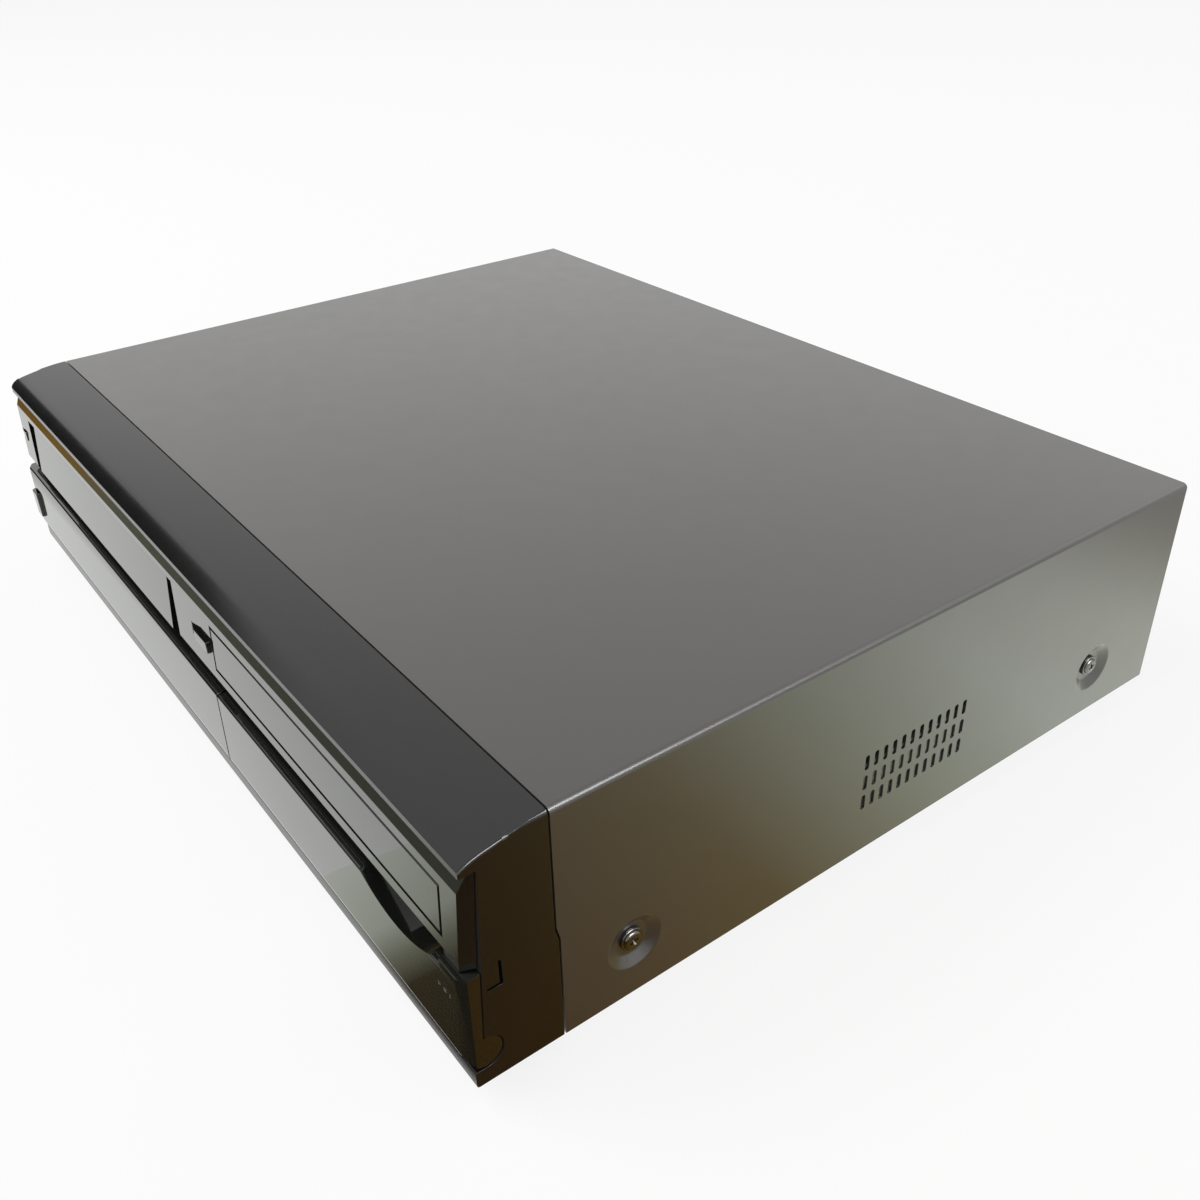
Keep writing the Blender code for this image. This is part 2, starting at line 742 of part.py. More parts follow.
def make_cover_screws():
    """Make the four screws that sit in the dishes."""
    for index, (side, y) in enumerate(screw_places()):
        seat = DISH_DEPTH - GAP
        top = seat - SCREW_HEAD_HEIGHT
        end = seat + SCREW_LENGTH
        edge = SCREW_HEAD_RADIUS - SCREW_HEAD_HEIGHT / 3
        profile = [(0, -side * top), (edge, -side * top), (SCREW_HEAD_RADIUS, -side * (top + seat) / 2),
                   (SCREW_HEAD_RADIUS, -side * seat), (SCREW_SHANK_RADIUS, -side * seat),
                   (SCREW_SHANK_RADIUS, -side * end), (0, -side * end)]
        piece("cover_screw_%d" % (index + 1), "zinc_steel",
              turned(profile, "X", (side * HALF_WIDTH, y, SCREW_Z)), smooth=True)


def pan_edge_x():
    """Return the outer face of the base pan's side edges, inside the dishes."""
    return HALF_WIDTH - DISH_DEPTH - SHEET - GAP


def make_base_pan():
    """Fold the base pan, with its edges, posts and floor slots."""
    edge = pan_edge_x()
    back = COVER_LENGTH - BACK_INSET
    high = PAN_EDGE_HEIGHT
    folded = [(-edge, 0), (edge, 0), (edge, high), (edge - SHEET, high), (edge - SHEET, SHEET),
              (SHEET - edge, SHEET), (SHEET - edge, high), (-edge, high)]
    pan = piece("base_pan", "zinc_steel", prism(folded, "Y", PAN_FRONT_Y, back))
    front = block((-edge + SHEET / 2, edge - SHEET / 2), (PAN_FRONT_Y, PAN_FRONT_Y + SHEET),
                  (SHEET / 2, PAN_FRONT_HEIGHT))
    weld(pan, front)
    weld(pan, *pan_posts())
    hole = SCREW_SHANK_RADIUS + GAP
    holes = []
    for side, y in screw_places():
        inner = side * (edge - SHEET - OVERRUN)
        holes.append(rod("X", (y, SCREW_Z), hole, inner, side * (edge + OVERRUN)))
    carve(pan, *holes)
    carve(pan, *pan_slots())


def make_feet():
    """Make the four round feet."""
    index = 0
    for side in (-1, 1):
        for y in (FOOT_INSET_Y, COVER_LENGTH - FOOT_INSET_Y):
            index += 1
            x = side * (HALF_WIDTH - FOOT_INSET_X)
            narrow = FOOT_RADIUS - FOOT_TAPER
            profile = [(0, -FOOT_HEIGHT), (narrow - FOOT_TAPER, -FOOT_HEIGHT),
                       (narrow, FOOT_TAPER - FOOT_HEIGHT), (FOOT_RADIUS, -GAP), (0, -GAP)]
            piece("foot_%d" % index, "rubber", turned(profile, "Z", (x, y, 0)), smooth=True)


# Moulded front
def make_front_fascia():
    """Mould the front shell that carries the panels, the flap and the door."""
    hinge = (-HINGE_REACH, HINGE_Z)
    foot = HINGE_Z - CRADLE_RADIUS
    outline = rounded(plain(seam_jog(SEAM_GAP)[::-1])
                      + [(SEAM_JOG - SEAM_GAP, 0, 0), (-FOOT_LIP_REACH, 0, FOOT_LIP_ROUND),
                         (-FOOT_LIP_REACH, foot, FOOT_LIP_ROUND / 2)]
                      + plain(arc(hinge, CRADLE_RADIUS, -90, 90, FINE_SIDES // 2))
                      + [(-WALL_TOP_REACH, LIP_UNDER_Z, 0), (-LIP_REACH, LIP_UNDER_Z, 0)]
                      + plain(top_curve(-LIP_REACH, -SEAM_GAP, 0)))
    fascia = piece("front_fascia", "dark_moulding", prism(outline, "X", -HALF_WIDTH, HALF_WIDTH), smooth=True)
    hollow_radius = CRADLE_RADIUS + MOULD_WALL
    lean = math.degrees(math.acos(MOULD_WALL / hollow_radius))
    inner_top = MOULD_WALL - WALL_TOP_REACH
    hollow = ([(OVERRUN, MOULD_WALL), (-HINGE_REACH, MOULD_WALL)]
              + arc(hinge, hollow_radius, -90, lean, FINE_SIDES // 2)
              + top_curve(inner_top, OVERRUN, MOULD_WALL))
    inside = HALF_WIDTH - MOULD_WALL
    carve(fascia, prism(hollow, "X", -inside, inside))
    weld(fascia, *tongue(), *throat(), *board_bosses())
    round_top = rounded([(-HALF_WIDTH, -OVERRUN, 0), (-HALF_WIDTH, COVER_HEIGHT, CORNER_ROUND),
                         (HALF_WIDTH, COVER_HEIGHT, CORNER_ROUND), (HALF_WIDTH, -OVERRUN, 0)])
    keep_inside(fascia, prism(round_top, "Y", -LIP_REACH - FOOT_LIP_REACH, TONGUE_LENGTH + OVERRUN))
    weld(fascia, *door_lugs(), *flap_ear_bases(), groove_stop())
    weld(fascia, *flap_ears())
    carve(fascia, *fascia_openings())
    carve(fascia, *fascia_pin_holes())


def tongue():
    """Return the tongue that slips under the metal cover."""
    reach = HALF_WIDTH - TONGUE_INSET
    top = COVER_HEIGHT - SHEET - GAP
    return [block((-reach, reach), (-MOULD_WALL, TONGUE_LENGTH), (top - MOULD_WALL, top))]


def throat():
    """Return the cassette throat behind the mouth: two cheeks and a floor."""
    low = MOUTH_FLOOR_Z - THROAT_WALL
    high = MOUTH_TOP_Z + THROAT_HEADROOM
    outline = [(MOUTH_X0 - THROAT_WALL, low), (MOUTH_X1 + THROAT_WALL, low),
               (MOUTH_X1 + THROAT_WALL, high), (MOUTH_X1, high), (MOUTH_X1, MOUTH_FLOOR_Z),
               (MOUTH_X0, MOUTH_FLOOR_Z), (MOUTH_X0, high), (MOUTH_X0 - THROAT_WALL, high)]
    return [prism(outline, "Y", -WALL_TOP_REACH, -SEAM_GAP)]


def flap_hinge_y():
    """Return the depth of the flap's hinge axis."""
    return upper_y(FLAP_TOP_Z) + FLAP_TOP_RECESS + FLAP_THICKNESS / 2


def flap_ears():
    """Return the two ears that hold the flap's pins, which stand on the throat."""
    y = flap_hinge_y()
    back = EAR_BASE - WALL_TOP_REACH
    nose = arc((y, FLAP_HINGE_Z), EAR_RADIUS, 90, 270, SMALL_SIDES // 2)
    outline = nose + [(back, FLAP_HINGE_Z - EAR_RADIUS), (back, FLAP_HINGE_Z + EAR_RADIUS)]
    forms = []
    for side, edge in ((1, MOUTH_X0), (-1, MOUTH_X1)):
        spans = sorted((edge + side * GAP, edge + side * EAR_WIDTH))
        forms.append(prism(outline, "X", *spans))
    return forms


def flap_ear_bases():
    """Return the blocks that root the ears in the throat's cheeks."""
    forms = []
    root = EAR_RADIUS * EAR_ROOT_SHARE
    high = (FLAP_HINGE_Z - root, FLAP_HINGE_Z + root)
    for side, edge in ((1, MOUTH_X0), (-1, MOUTH_X1)):
        across = sorted((edge - side * THROAT_WALL / 2, edge + side * EAR_WIDTH))
        forms.append(block(across, (-WALL_TOP_REACH, EAR_BASE - WALL_TOP_REACH), high))
    return forms


def door_span():
    """Return the two ends of the hinged door."""
    return SPLIT_X + LOWER_SEAM / 2, PANEL_END_X


def lug_spans():
    """Return the spans across of the two hinge lugs inside the door's end walls."""
    left, right = door_span()
    inner_left = left + LOWER_WALL + GAP
    inner_right = right - LOWER_WALL - LOWER_END_CUT - GAP
    return (inner_left, inner_left + LUG_WIDTH), (inner_right - LUG_WIDTH, inner_right)


def door_lugs():
    """Return the lugs that carry the door's pins, rooted in the cradle's back wall."""
    hinge = (-HINGE_REACH, HINGE_Z)
    root = CRADLE_RADIUS + MOULD_WALL / 2 - HINGE_REACH
    under = 360 - math.degrees(math.asin(LUG_ARM / LUG_RADIUS))
    outline = arc(hinge, LUG_RADIUS, 90, under, SMALL_SIDES)
    outline += [(root, HINGE_Z - LUG_ARM), (root, HINGE_Z + LUG_RADIUS)]
    return [prism(outline, "X", *span) for span in lug_spans()]


def board_bosses():
    """Return the bosses between the front wall and the board behind it."""
    z = LEDGE_Z - BOARD_BOSS_INSET
    start = wall_y(z) + MOULD_WALL / 2
    places = (BOARD_BOSS_INSET - HALF_WIDTH, SPLIT_X - BOARD_BOSS_INSET)
    return [rod("Y", (x, z), BOARD_BOSS_RADIUS, start, -SWITCH_PLANE - GAP) for x in places]


def through_wall(across, high):
    """Return a cut through the raked front wall."""
    return block(across, (-HINGE_REACH - OVERRUN, MOULD_WALL + OVERRUN - WALL_TOP_REACH), high)


def button_places():
    """Return each fixed front button's name, spans and face function."""
    left_end = END_BUTTON_INSET - HALF_WIDTH
    open_x1 = DISC_X0 - OPEN_BUTTON_INSET
    half = BUTTON_HEIGHT / 2
    power_half = POWER_HEIGHT / 2
    open_span = (open_x1 - OPEN_BUTTON_WIDTH, open_x1)
    return [
        ("open_close_button", open_span, (BUTTON_Z - half, BUTTON_Z + half), upper_y, BUTTON_FLANK),
        ("eject_button", (left_end, left_end + END_BUTTON_WIDTH), (BUTTON_Z - half, BUTTON_Z + half),
         upper_y, BUTTON_STAND),
        ("power_button", (left_end, left_end + POWER_WIDTH),
         (POWER_Z - power_half, POWER_Z + power_half), lower_y, BUTTON_STAND),
    ]


def stem_box(across, high, play, start, stop):
    """Return a button's stem, or its hole where play is given."""
    x = (across[0] + across[1]) / 2
    z = (high[0] + high[1]) / 2
    wide = STEM_WIDTH / 2 + play
    tall = STEM_HEIGHT / 2 + play
    return block((x - wide, x + wide), (start, stop), (z - tall, z + tall))


def port_span():
    """Return the span across of the panel behind the door."""
    return SPLIT_X + PORT_MARGIN, PANEL_END_X - PORT_MARGIN


def tray_mouth():
    """Return the cut that the disc tray and its rack pass through."""
    reach = TRAY_WIDTH / 2 + TRAY_PLAY
    return through_wall((DISC_X - reach, DISC_X + reach),
                        (TRAY_FOOT_Z - RACK_HEIGHT - TRAY_PLAY, TRAY_TOP_Z + TRAY_PLAY))


def fascia_openings():
    """Return the cuts through the front wall and the sides."""
    display = (DISPLAY_MARGIN - HALF_WIDTH, SPLIT_X - DISPLAY_MARGIN)
    cuts = [
        through_wall((MOUTH_X0, MOUTH_X1), (MOUTH_FLOOR_Z, MOUTH_TOP_Z + MOUTH_EASE)),
        through_wall(port_span(), (PORT_FOOT_Z, PORT_FOOT_Z + PORT_HEIGHT)),
        through_wall(display, (PORT_FOOT_Z, PORT_FOOT_Z + DISPLAY_HEIGHT)),
        tray_mouth(),
    ]
    back = MOULD_WALL + OVERRUN - WALL_TOP_REACH
    for _, across, high, _, _ in button_places():
        cuts.append(stem_box(across, high, BUTTON_PLAY, -HINGE_REACH - OVERRUN, back))
    inner = HALF_WIDTH - MOULD_WALL - OVERRUN
    cuts.append(prism(side_slot(), "X", inner, HALF_WIDTH + OVERRUN))
    cuts.append(prism(side_slot(), "X", -HALF_WIDTH - OVERRUN, -inner))
    return cuts


def side_slot():
    """Return the L-shaped slot in the side of the front."""
    back = SLOT_WIDTH / 2 - SLOT_REACH
    front = back - SLOT_WIDTH
    toe = back - SLOT_LEG
    low = LEDGE_Z - SLOT_DROP - SLOT_WIDTH / 2
    high = LEDGE_Z + SLOT_TOP_RISE
    step = low + SLOT_WIDTH
    return [(back, low), (back, high), (front, high), (front, step), (toe, step), (toe, low)]


def groove_stop():
    """Return the block that closes the left end of the groove between the panels."""
    low = LEDGE_Z + LEDGE_RISE + GAP
    high = PANEL_FOOT_Z - GAP
    front = STOP_INSET - UPPER_REACH
    return block((-HALF_WIDTH, STOP_WIDTH - HALF_WIDTH), (front, MOULD_WALL / 2 + wall_y(high)), (low, high))


def fascia_pin_holes():
    """Return the holes for the door's and the flap's pins."""
    holes = []
    for low, high in lug_spans():
        holes.append(rod("X", (-HINGE_REACH, HINGE_Z), PIN_RADIUS + PIN_PLAY, low - GAP / 2, high + GAP / 2))
    for side, edge in ((1, MOUTH_X0), (-1, MOUTH_X1)):
        span = sorted((edge - side * GAP / 2, edge + side * (EAR_WIDTH + GAP)))
        holes.append(rod("X", (flap_hinge_y(), FLAP_HINGE_Z), FLAP_PIN_RADIUS + PIN_PLAY, *span))
    return holes


def make_upper_panel():
    """Mould the raked upper panel with its chamfer, mouth notch and disc opening."""
    back_top = wall_y(PANEL_TOP_Z) - GAP
    back_foot = wall_y(PANEL_FOOT_Z) - GAP
    outline = rounded([(back_foot, PANEL_FOOT_Z, 0), (back_top, PANEL_TOP_Z, 0),
                       (-PANEL_CROWN_REACH, PANEL_TOP_Z, EDGE_ROUND / 2),
                       (-CHAMFER_TOP_REACH, PANEL_TOP_Z - CHAMFER_TOP_DROP, EDGE_ROUND / 2),
                       (upper_y(UPPER_MARK_Z), UPPER_MARK_Z, 0),
                       (upper_y(PANEL_FOOT_Z), PANEL_FOOT_Z, END_ROUND)])
    panel = piece("upper_front_panel", "gloss_moulding",
                  prism(outline, "X", -HALF_WIDTH, HALF_WIDTH), smooth=True)
    high = BUTTON_Z
    toe = PANEL_FOOT_Z - END_DROP
    heel = wall_y(toe) - GAP
    strip = [(wall_y(high) - GAP - END_BLOCK_INSET, high), (upper_y(high) + END_BLOCK_INSET, high),
             (upper_y(toe) + END_BLOCK_INSET, toe), (heel, PANEL_FOOT_Z)]
    weld(panel, prism(strip, "X", DISC_X1, HALF_WIDTH + OVERRUN))
    reach = -upper_y(PANEL_FOOT_Z)
    plan = end_plan(UPPER_END_CUT, reach, reach - WALL_TOP_REACH)
    keep_inside(panel, prism(plan, "Z", 0, COVER_HEIGHT))
    deep = (-UPPER_REACH - LOWER_REACH, -HINGE_REACH + MOULD_WALL + OVERRUN)
    cuts = [block((MOUTH_X0, MOUTH_X1), deep, (LEDGE_Z, MOUTH_TOP_Z)),
            block((DISC_X0, DISC_X1), deep, (DISC_FOOT_Z, DISC_TOP_Z))]
    for name, across, tall, face, _ in button_places():
        if face is upper_y:
            cuts.append(button_hole(name, across, tall, deep))
    carve(panel, *cuts)


def button_hole(name, across, high, deep):
    """Return the hole for a button, which runs out at the panel's end beside an end button."""
    left = across[0] - BUTTON_PLAY if name == "open_close_button" else -HALF_WIDTH - OVERRUN
    return block((left, across[1] + BUTTON_PLAY), deep, (high[0] - BUTTON_PLAY, high[1] + BUTTON_PLAY))


def lower_outline():
    """Return the section of the lower panels: ledge, face and round hinge end."""
    hinge = (-HINGE_REACH, HINGE_Z)
    last = 450 + math.degrees(math.asin(GAP / DOOR_ROUND))
    crest = LEDGE_Z + LEDGE_RISE
    return rounded([(wall_y(crest) - GAP, crest, 0), (lower_y(LEDGE_Z), LEDGE_Z, EDGE_ROUND)]
                   + plain(arc(hinge, DOOR_ROUND, 180, last, FINE_SIDES // 2)))


def lower_hollow(arc_end):
    """Return the section of a lower panel's hollow, with its foot cut off at arc_end."""
    hinge = (-HINGE_REACH, HINGE_Z)
    ceiling = LEDGE_Z - LOWER_WALL
    inner = DOOR_ROUND - LOWER_WALL
    outer = DOOR_ROUND + CRADLE_PLAY / 2
    back = outer - HINGE_REACH
    bottom = HINGE_Z - outer
    toe = arc(hinge, outer, arc_end, arc_end, 1)[:1]
    start = [(wall_y(ceiling) + OVERRUN, ceiling + LEDGE_RISE), (lower_y(ceiling) + LOWER_WALL, ceiling)]
    rest = [(-HINGE_REACH, bottom), (back, bottom), (back, HINGE_Z)]
    return start + arc(hinge, inner, 180, arc_end, SMALL_SIDES) + toe + rest


def window_hollow():
    """Return the section of the display window's hollow, open at the back."""
    hinge = (-HINGE_REACH, HINGE_Z)
    ceiling = LEDGE_Z - LOWER_WALL
    back = DOOR_ROUND - HINGE_REACH + OVERRUN
    start = [(wall_y(ceiling) + OVERRUN, ceiling + LEDGE_RISE), (lower_y(ceiling) + LOWER_WALL, ceiling)]
    low = arc(hinge, DOOR_ROUND - LOWER_WALL, 180, 270, SMALL_SIDES)
    return start + low + [(back, low[-1][1]), (back, HINGE_Z)]


def make_display_window():
    """Mould the fixed window at the lower left."""
    end = SPLIT_X - LOWER_SEAM / 2
    window = piece("display_window", "gloss_moulding",
                   prism(lower_outline(), "X", -HALF_WIDTH, end), smooth=True)
    keep_inside(window, prism(lower_end_plan(), "Z", 0, COVER_HEIGHT))
    wide = (LOWER_WALL + LOWER_END_CUT - PANEL_END_X, end - LOWER_WALL)
    carve(window, prism(window_hollow(), "X", *wide))
    deep = (-UPPER_REACH - LOWER_REACH, wall_y(HINGE_Z) + MOULD_WALL)
    for name, across, high, face, _ in button_places():
        if face is lower_y:
            carve(window, button_hole(name, across, high, deep))


def make_lower_door():
    """Mould the door that flips down, with its finger scoop, round ends and pins."""
    left, right = door_span()
    door = piece("lower_door", "gloss_moulding", prism(lower_outline(), "X", left, HALF_WIDTH), smooth=True)
    top = LEDGE_Z + END_BLOCK_RISE
    low = LEDGE_Z - LOWER_WALL
    raised = [(wall_y(top) - GAP, top + LEDGE_RISE), (lower_y(top) + END_BLOCK_INSET, top),
              (lower_y(low) + END_BLOCK_INSET, low), (wall_y(low) - GAP, low)]
    weld(door, prism(raised, "X", PANEL_END_X - END_BLOCK_WIDTH, HALF_WIDTH))
    keep_inside(door, prism(lower_end_plan(), "Z", 0, COVER_HEIGHT))
    inner = (left + LOWER_WALL, right - LOWER_WALL - LOWER_END_CUT)
    carve(door, prism(lower_hollow(DOOR_ARC_END), "X", *inner))
    back = wall_y(LEDGE_Z - SCOOP_DEPTH - SCOOP_WALL) - GAP
    face = lower_y(HINGE_Z)
    weld(door, prism(scoop_outline(SCOOP_WALL), "Y", lower_y(LEDGE_Z) + LOWER_WALL / 2, back))
    carve(door, prism(scoop_outline(0), "Y", face - OVERRUN, back - SCOOP_BACK))
    pins = []
    for (low_x, high_x), side in zip(lug_spans(), (1, -1)):
        near = (low_x - GAP if side > 0 else high_x + GAP) - side * LOWER_WALL / 2
        far = (high_x if side > 0 else low_x) - side * GAP
        pins.append(rod("X", (-HINGE_REACH, HINGE_Z), PIN_RADIUS, *sorted((near, far))))
    weld(door, *pins)
    set_pivot(door, (0, -HINGE_REACH, HINGE_Z))


def scoop_outline(wall):
    """Return the finger scoop's outline in the door's face, grown by wall below."""
    x = PANEL_END_X - SCOOP_FROM_END
    radius = (SCOOP_WIDTH ** 2 / 4 + SCOOP_DEPTH ** 2) / (2 * SCOOP_DEPTH)
    high = LEDGE_Z + LEDGE_RISE / 2
    centre = (x, LEDGE_Z - SCOOP_DEPTH + radius)
    rise = OVERRUN if wall == 0 else -wall / 2
    drop = centre[1] - high - rise
    spread = math.degrees(math.acos(drop / (radius + wall)))
    return arc(centre, radius + wall, 270 - spread, 270 + spread, FINE_SIDES // 2)


def make_jack_panel():
    """Mould the fixed panel behind the door, with holes for the jacks and keys."""
    x0, x1 = port_span()
    low = PORT_FOOT_Z + GAP
    high = PORT_FOOT_Z + PORT_HEIGHT - GAP
    brim = high + PORT_FLANGE
    step = MOULD_WALL + GAP
    outline = [(wall_y(low), low), (wall_y(high), high), (wall_y(high) + step, high),
               (wall_y(brim) + step, brim), (wall_y(brim) + step + SHEET, brim),
               (wall_y(low) + step + SHEET, low)]
    panel = piece("front_jack_panel", "black_moulding", prism(outline, "X", x0 + GAP, x1 - GAP))
    back = step + SHEET + OVERRUN - WALL_TOP_REACH
    holes = [rod("Y", place, PORT_SLEEVE + GAP, -HINGE_REACH - OVERRUN, back) for place in port_places()]
    for across, tall in key_spans():
        holes.append(block((across[0] - GAP, across[1] + GAP), (-HINGE_REACH - OVERRUN, back),
                           (tall[0] - GAP, tall[1] + GAP)))
    carve(panel, *holes)
    z = PORT_FOOT_Z + PORT_HEIGHT / 2
    between = [(span[0][1] + KEY_PITCH / 2 - KEY_WIDTH / 2, z) for span in key_spans()[::2]]
    start = wall_y(z) + step + SHEET / 2
    weld(panel, *[rod("Y", place, BOARD_BOSS_RADIUS, start, -SWITCH_PLANE - GAP) for place in between])


def port_places():
    """Return the centres of the front jacks."""
    z = PORT_FOOT_Z + PORT_HEIGHT / 2
    x0 = port_span()[0] + PORT_START
    return [(x0 + index * PORT_PITCH, z) for index in range(PORT_COUNT)]


def key_spans():
    """Return the spans of the small keys behind the door."""
    z = PORT_FOOT_Z + PORT_HEIGHT / 2
    x0 = port_span()[0] + KEY_START
    spans = []
    for index in range(KEY_COUNT):
        x = x0 + index * KEY_PITCH
        spans.append(((x - KEY_WIDTH / 2, x + KEY_WIDTH / 2), (z - KEY_HEIGHT / 2, z + KEY_HEIGHT / 2)))
    return spans


def make_front_jacks():
    """Make the block of front jacks, whose sleeves pass through the panel."""
    places = port_places()
    z = places[0][1]
    back_of_panel = wall_y(PORT_FOOT_Z + PORT_HEIGHT) + MOULD_WALL + SHEET + 2 * GAP
    half = PORT_HEIGHT / 2 - GAP
    body = block((places[0][0] - half, places[-1][0] + half),
                 (back_of_panel, back_of_panel + PORT_BLOCK_DEPTH), (z - half, z + half))
    jacks = piece("front_jacks", "black_moulding", body, smooth=True)
    front = wall_y(z) - PORT_PROUD
    rooted = back_of_panel + PORT_PROUD
    weld(jacks, *[rod("Y", place, PORT_SLEEVE, front, rooted, SMALL_SIDES) for place in places])
    deep = back_of_panel + PORT_BLOCK_DEPTH / 2
    carve(jacks, *[rod("Y", place, PORT_BORE, front - OVERRUN, deep, POST_SIDES) for place in places])


def make_plunger(name, look, cap, across, high, back):
    """Make a button from its cap, with the stem that reaches the switch behind it."""
    button = piece(name, look, cap)
    end = -SWITCH_PLANE - BUTTON_TRAVEL - GAP
    weld(button, stem_box(across, high, 0, back - OVERRUN / 2, end))
    set_pivot(button, (sum(across) / 2, back, sum(high) / 2))


def make_buttons():
    """Make the three buttons of the front and the keys behind the door."""
    for name, across, high, face, flank in button_places():
        z = sum(high) / 2
        front = face(z) - BUTTON_STAND
        back = wall_y(z) - BUTTON_BACK_GAP
        outline = rounded([(across[0], back, 0), (across[0], face(z), 0),
                           (across[0] + flank, front, EDGE_ROUND), (across[1], front, EDGE_ROUND / 2),
                           (across[1], back, 0)])
        make_plunger(name, "gloss_moulding", prism(outline, "Z", *high), across, high, back)
    for index, (across, high) in enumerate(key_spans()):
        z = sum(high) / 2
        back = wall_y(z) + MOULD_WALL
        cap = block(across, (wall_y(z) - KEY_PROUD, back), high)
        make_plunger("key_%d" % (index + 1), "dark_moulding", cap, across, high, back)


def make_flap():
    """Mould the cassette flap, hung on pins at its top corners."""
    top = upper_y(FLAP_TOP_Z) + FLAP_TOP_RECESS
    foot = upper_y(PANEL_FOOT_Z) - FLAP_FOOT_PROUD
    crown = FLAP_THICKNESS * FLAP_CROWN_SHARE
    outline = rounded([(foot + FLAP_THICKNESS, PANEL_FOOT_Z, 0),
                       (top + FLAP_THICKNESS, FLAP_TOP_Z, crown), (top, FLAP_TOP_Z, crown),
                       (foot, PANEL_FOOT_Z, EDGE_ROUND)])
    ends = (MOUTH_X0 + FLAP_SIDE_GAP, MOUTH_X1 - FLAP_SIDE_GAP)
    flap = piece("cassette_flap", "gloss_moulding", prism(outline, "X", *ends), smooth=True)
    hinge = (flap_hinge_y(), FLAP_HINGE_Z)
    reach = (MOUTH_X0 + 2 * GAP, MOUTH_X1 - 2 * GAP)
    left = rod("X", hinge, FLAP_PIN_RADIUS, reach[0], ends[0] + FLAP_THICKNESS)
    right = rod("X", hinge, FLAP_PIN_RADIUS, ends[1] - FLAP_THICKNESS, reach[1])
    weld(flap, left, right)
    set_pivot(flap, (MOUTH_X, *hinge))


def make_front_boards():
    """Make the board behind the window, the display on it and the board behind the keys."""
    left = MOULD_WALL + GAP - HALF_WIDTH
    tab = MOUTH_X0 - THROAT_WALL - GAP
    right_tab = MOUTH_X1 + THROAT_WALL + GAP
    right = DISC_X0 - OPEN_BUTTON_INSET
    top = MOUTH_FLOOR_Z - THROAT_WALL - GAP
    crest = BUTTON_Z + BUTTON_HEIGHT
    outline = [(left, BOARD_FOOT_Z), (right, BOARD_FOOT_Z), (right, crest), (right_tab, crest),
               (right_tab, top), (tab, top), (tab, crest), (left, crest)]
    rear = BOARD_THICKNESS - SWITCH_PLANE
    piece("front_board", "board", prism(outline, "Y", -SWITCH_PLANE, rear))
    z = PORT_FOOT_Z + DISPLAY_HEIGHT / 2
    half = DISPLAY_HEIGHT / 2 - GAP
    across = (DISPLAY_MARGIN + GAP - HALF_WIDTH, SPLIT_X - DISPLAY_MARGIN - GAP)
    piece("display_module", "black_moulding",
          block(across, (wall_y(z) + MOULD_WALL / 2, -SWITCH_PLANE - GAP), (z - half, z + half)))
    spans = key_spans()
    edge = KEY_PITCH / 2
    piece("key_board", "board",
          block((spans[0][0][0] - edge, spans[-1][0][1] + edge), (-SWITCH_PLANE, rear),
                (BOARD_FOOT_Z, PORT_FOOT_Z + PORT_HEIGHT)))


# Disc drive
def tray_front():
    """Return the depth of the tray's front end, behind the disc door."""
    return upper_y(TRAY_TOP_Z) + DISC_DOOR_THICKNESS + GAP


def disc_y():
    """Return the depth of the disc's centre with the tray closed."""
    return tray_front() + DISC_RIM + DISC_RADIUS


def rack_line():
    """Return the pitch line of the tray's rack."""
    return DISC_X - TRAY_WIDTH / 2 + RACK_INSET + RACK_BACK


def rack_outline():
    """Return the rack seen from above: a bar with trapezoid teeth on its inner side."""
    pitch = math.pi * GEAR_MODULE
    line = rack_line()
    start = tray_front() + RACK_MARGIN
    count = int((TRAY_LENGTH - 2 * RACK_MARGIN) / pitch)
    points = [(line - RACK_BACK, start), (line - TOOTH_REACH, start)]
    for index in range(count):
        y = start + (index + 0.5) * pitch
        foot = pitch * TOOTH_FOOT_SHARE
        tip = pitch * TOOTH_TIP_SHARE
        points += [(line - TOOTH_REACH, y - foot), (line + TOOTH_REACH, y - tip),
                   (line + TOOTH_REACH, y + tip), (line - TOOTH_REACH, y + foot)]
    end = start + count * pitch
    return points + [(line - TOOTH_REACH, end), (line - RACK_BACK, end)]


def pinion_place():
    """Return the pinion's axis: it meshes with the rack near the drive's front."""
    pitch = math.pi * GEAR_MODULE
    start = tray_front() + RACK_MARGIN
    return rack_line() + PINION_RADIUS, start + PINION_LEAD_TEETH * pitch


def pinion_outline():
    """Return the pinion seen from above, with a tooth in the rack's gap."""
    x, y = pinion_place()
    step = 2 * math.pi / PINION_TEETH
    points = []
    for index in range(PINION_TEETH):
        middle = math.pi + index * step
        foot = step * TOOTH_FOOT_SHARE
        tip = step * TOOTH_TIP_SHARE
        for turn, side in ((-foot, -1), (-tip, 1), (tip, 1), (foot, -1)):
            reach = PINION_RADIUS + side * TOOTH_REACH
            points.append((x + reach * math.cos(middle + turn), y + reach * math.sin(middle + turn)))
    return points


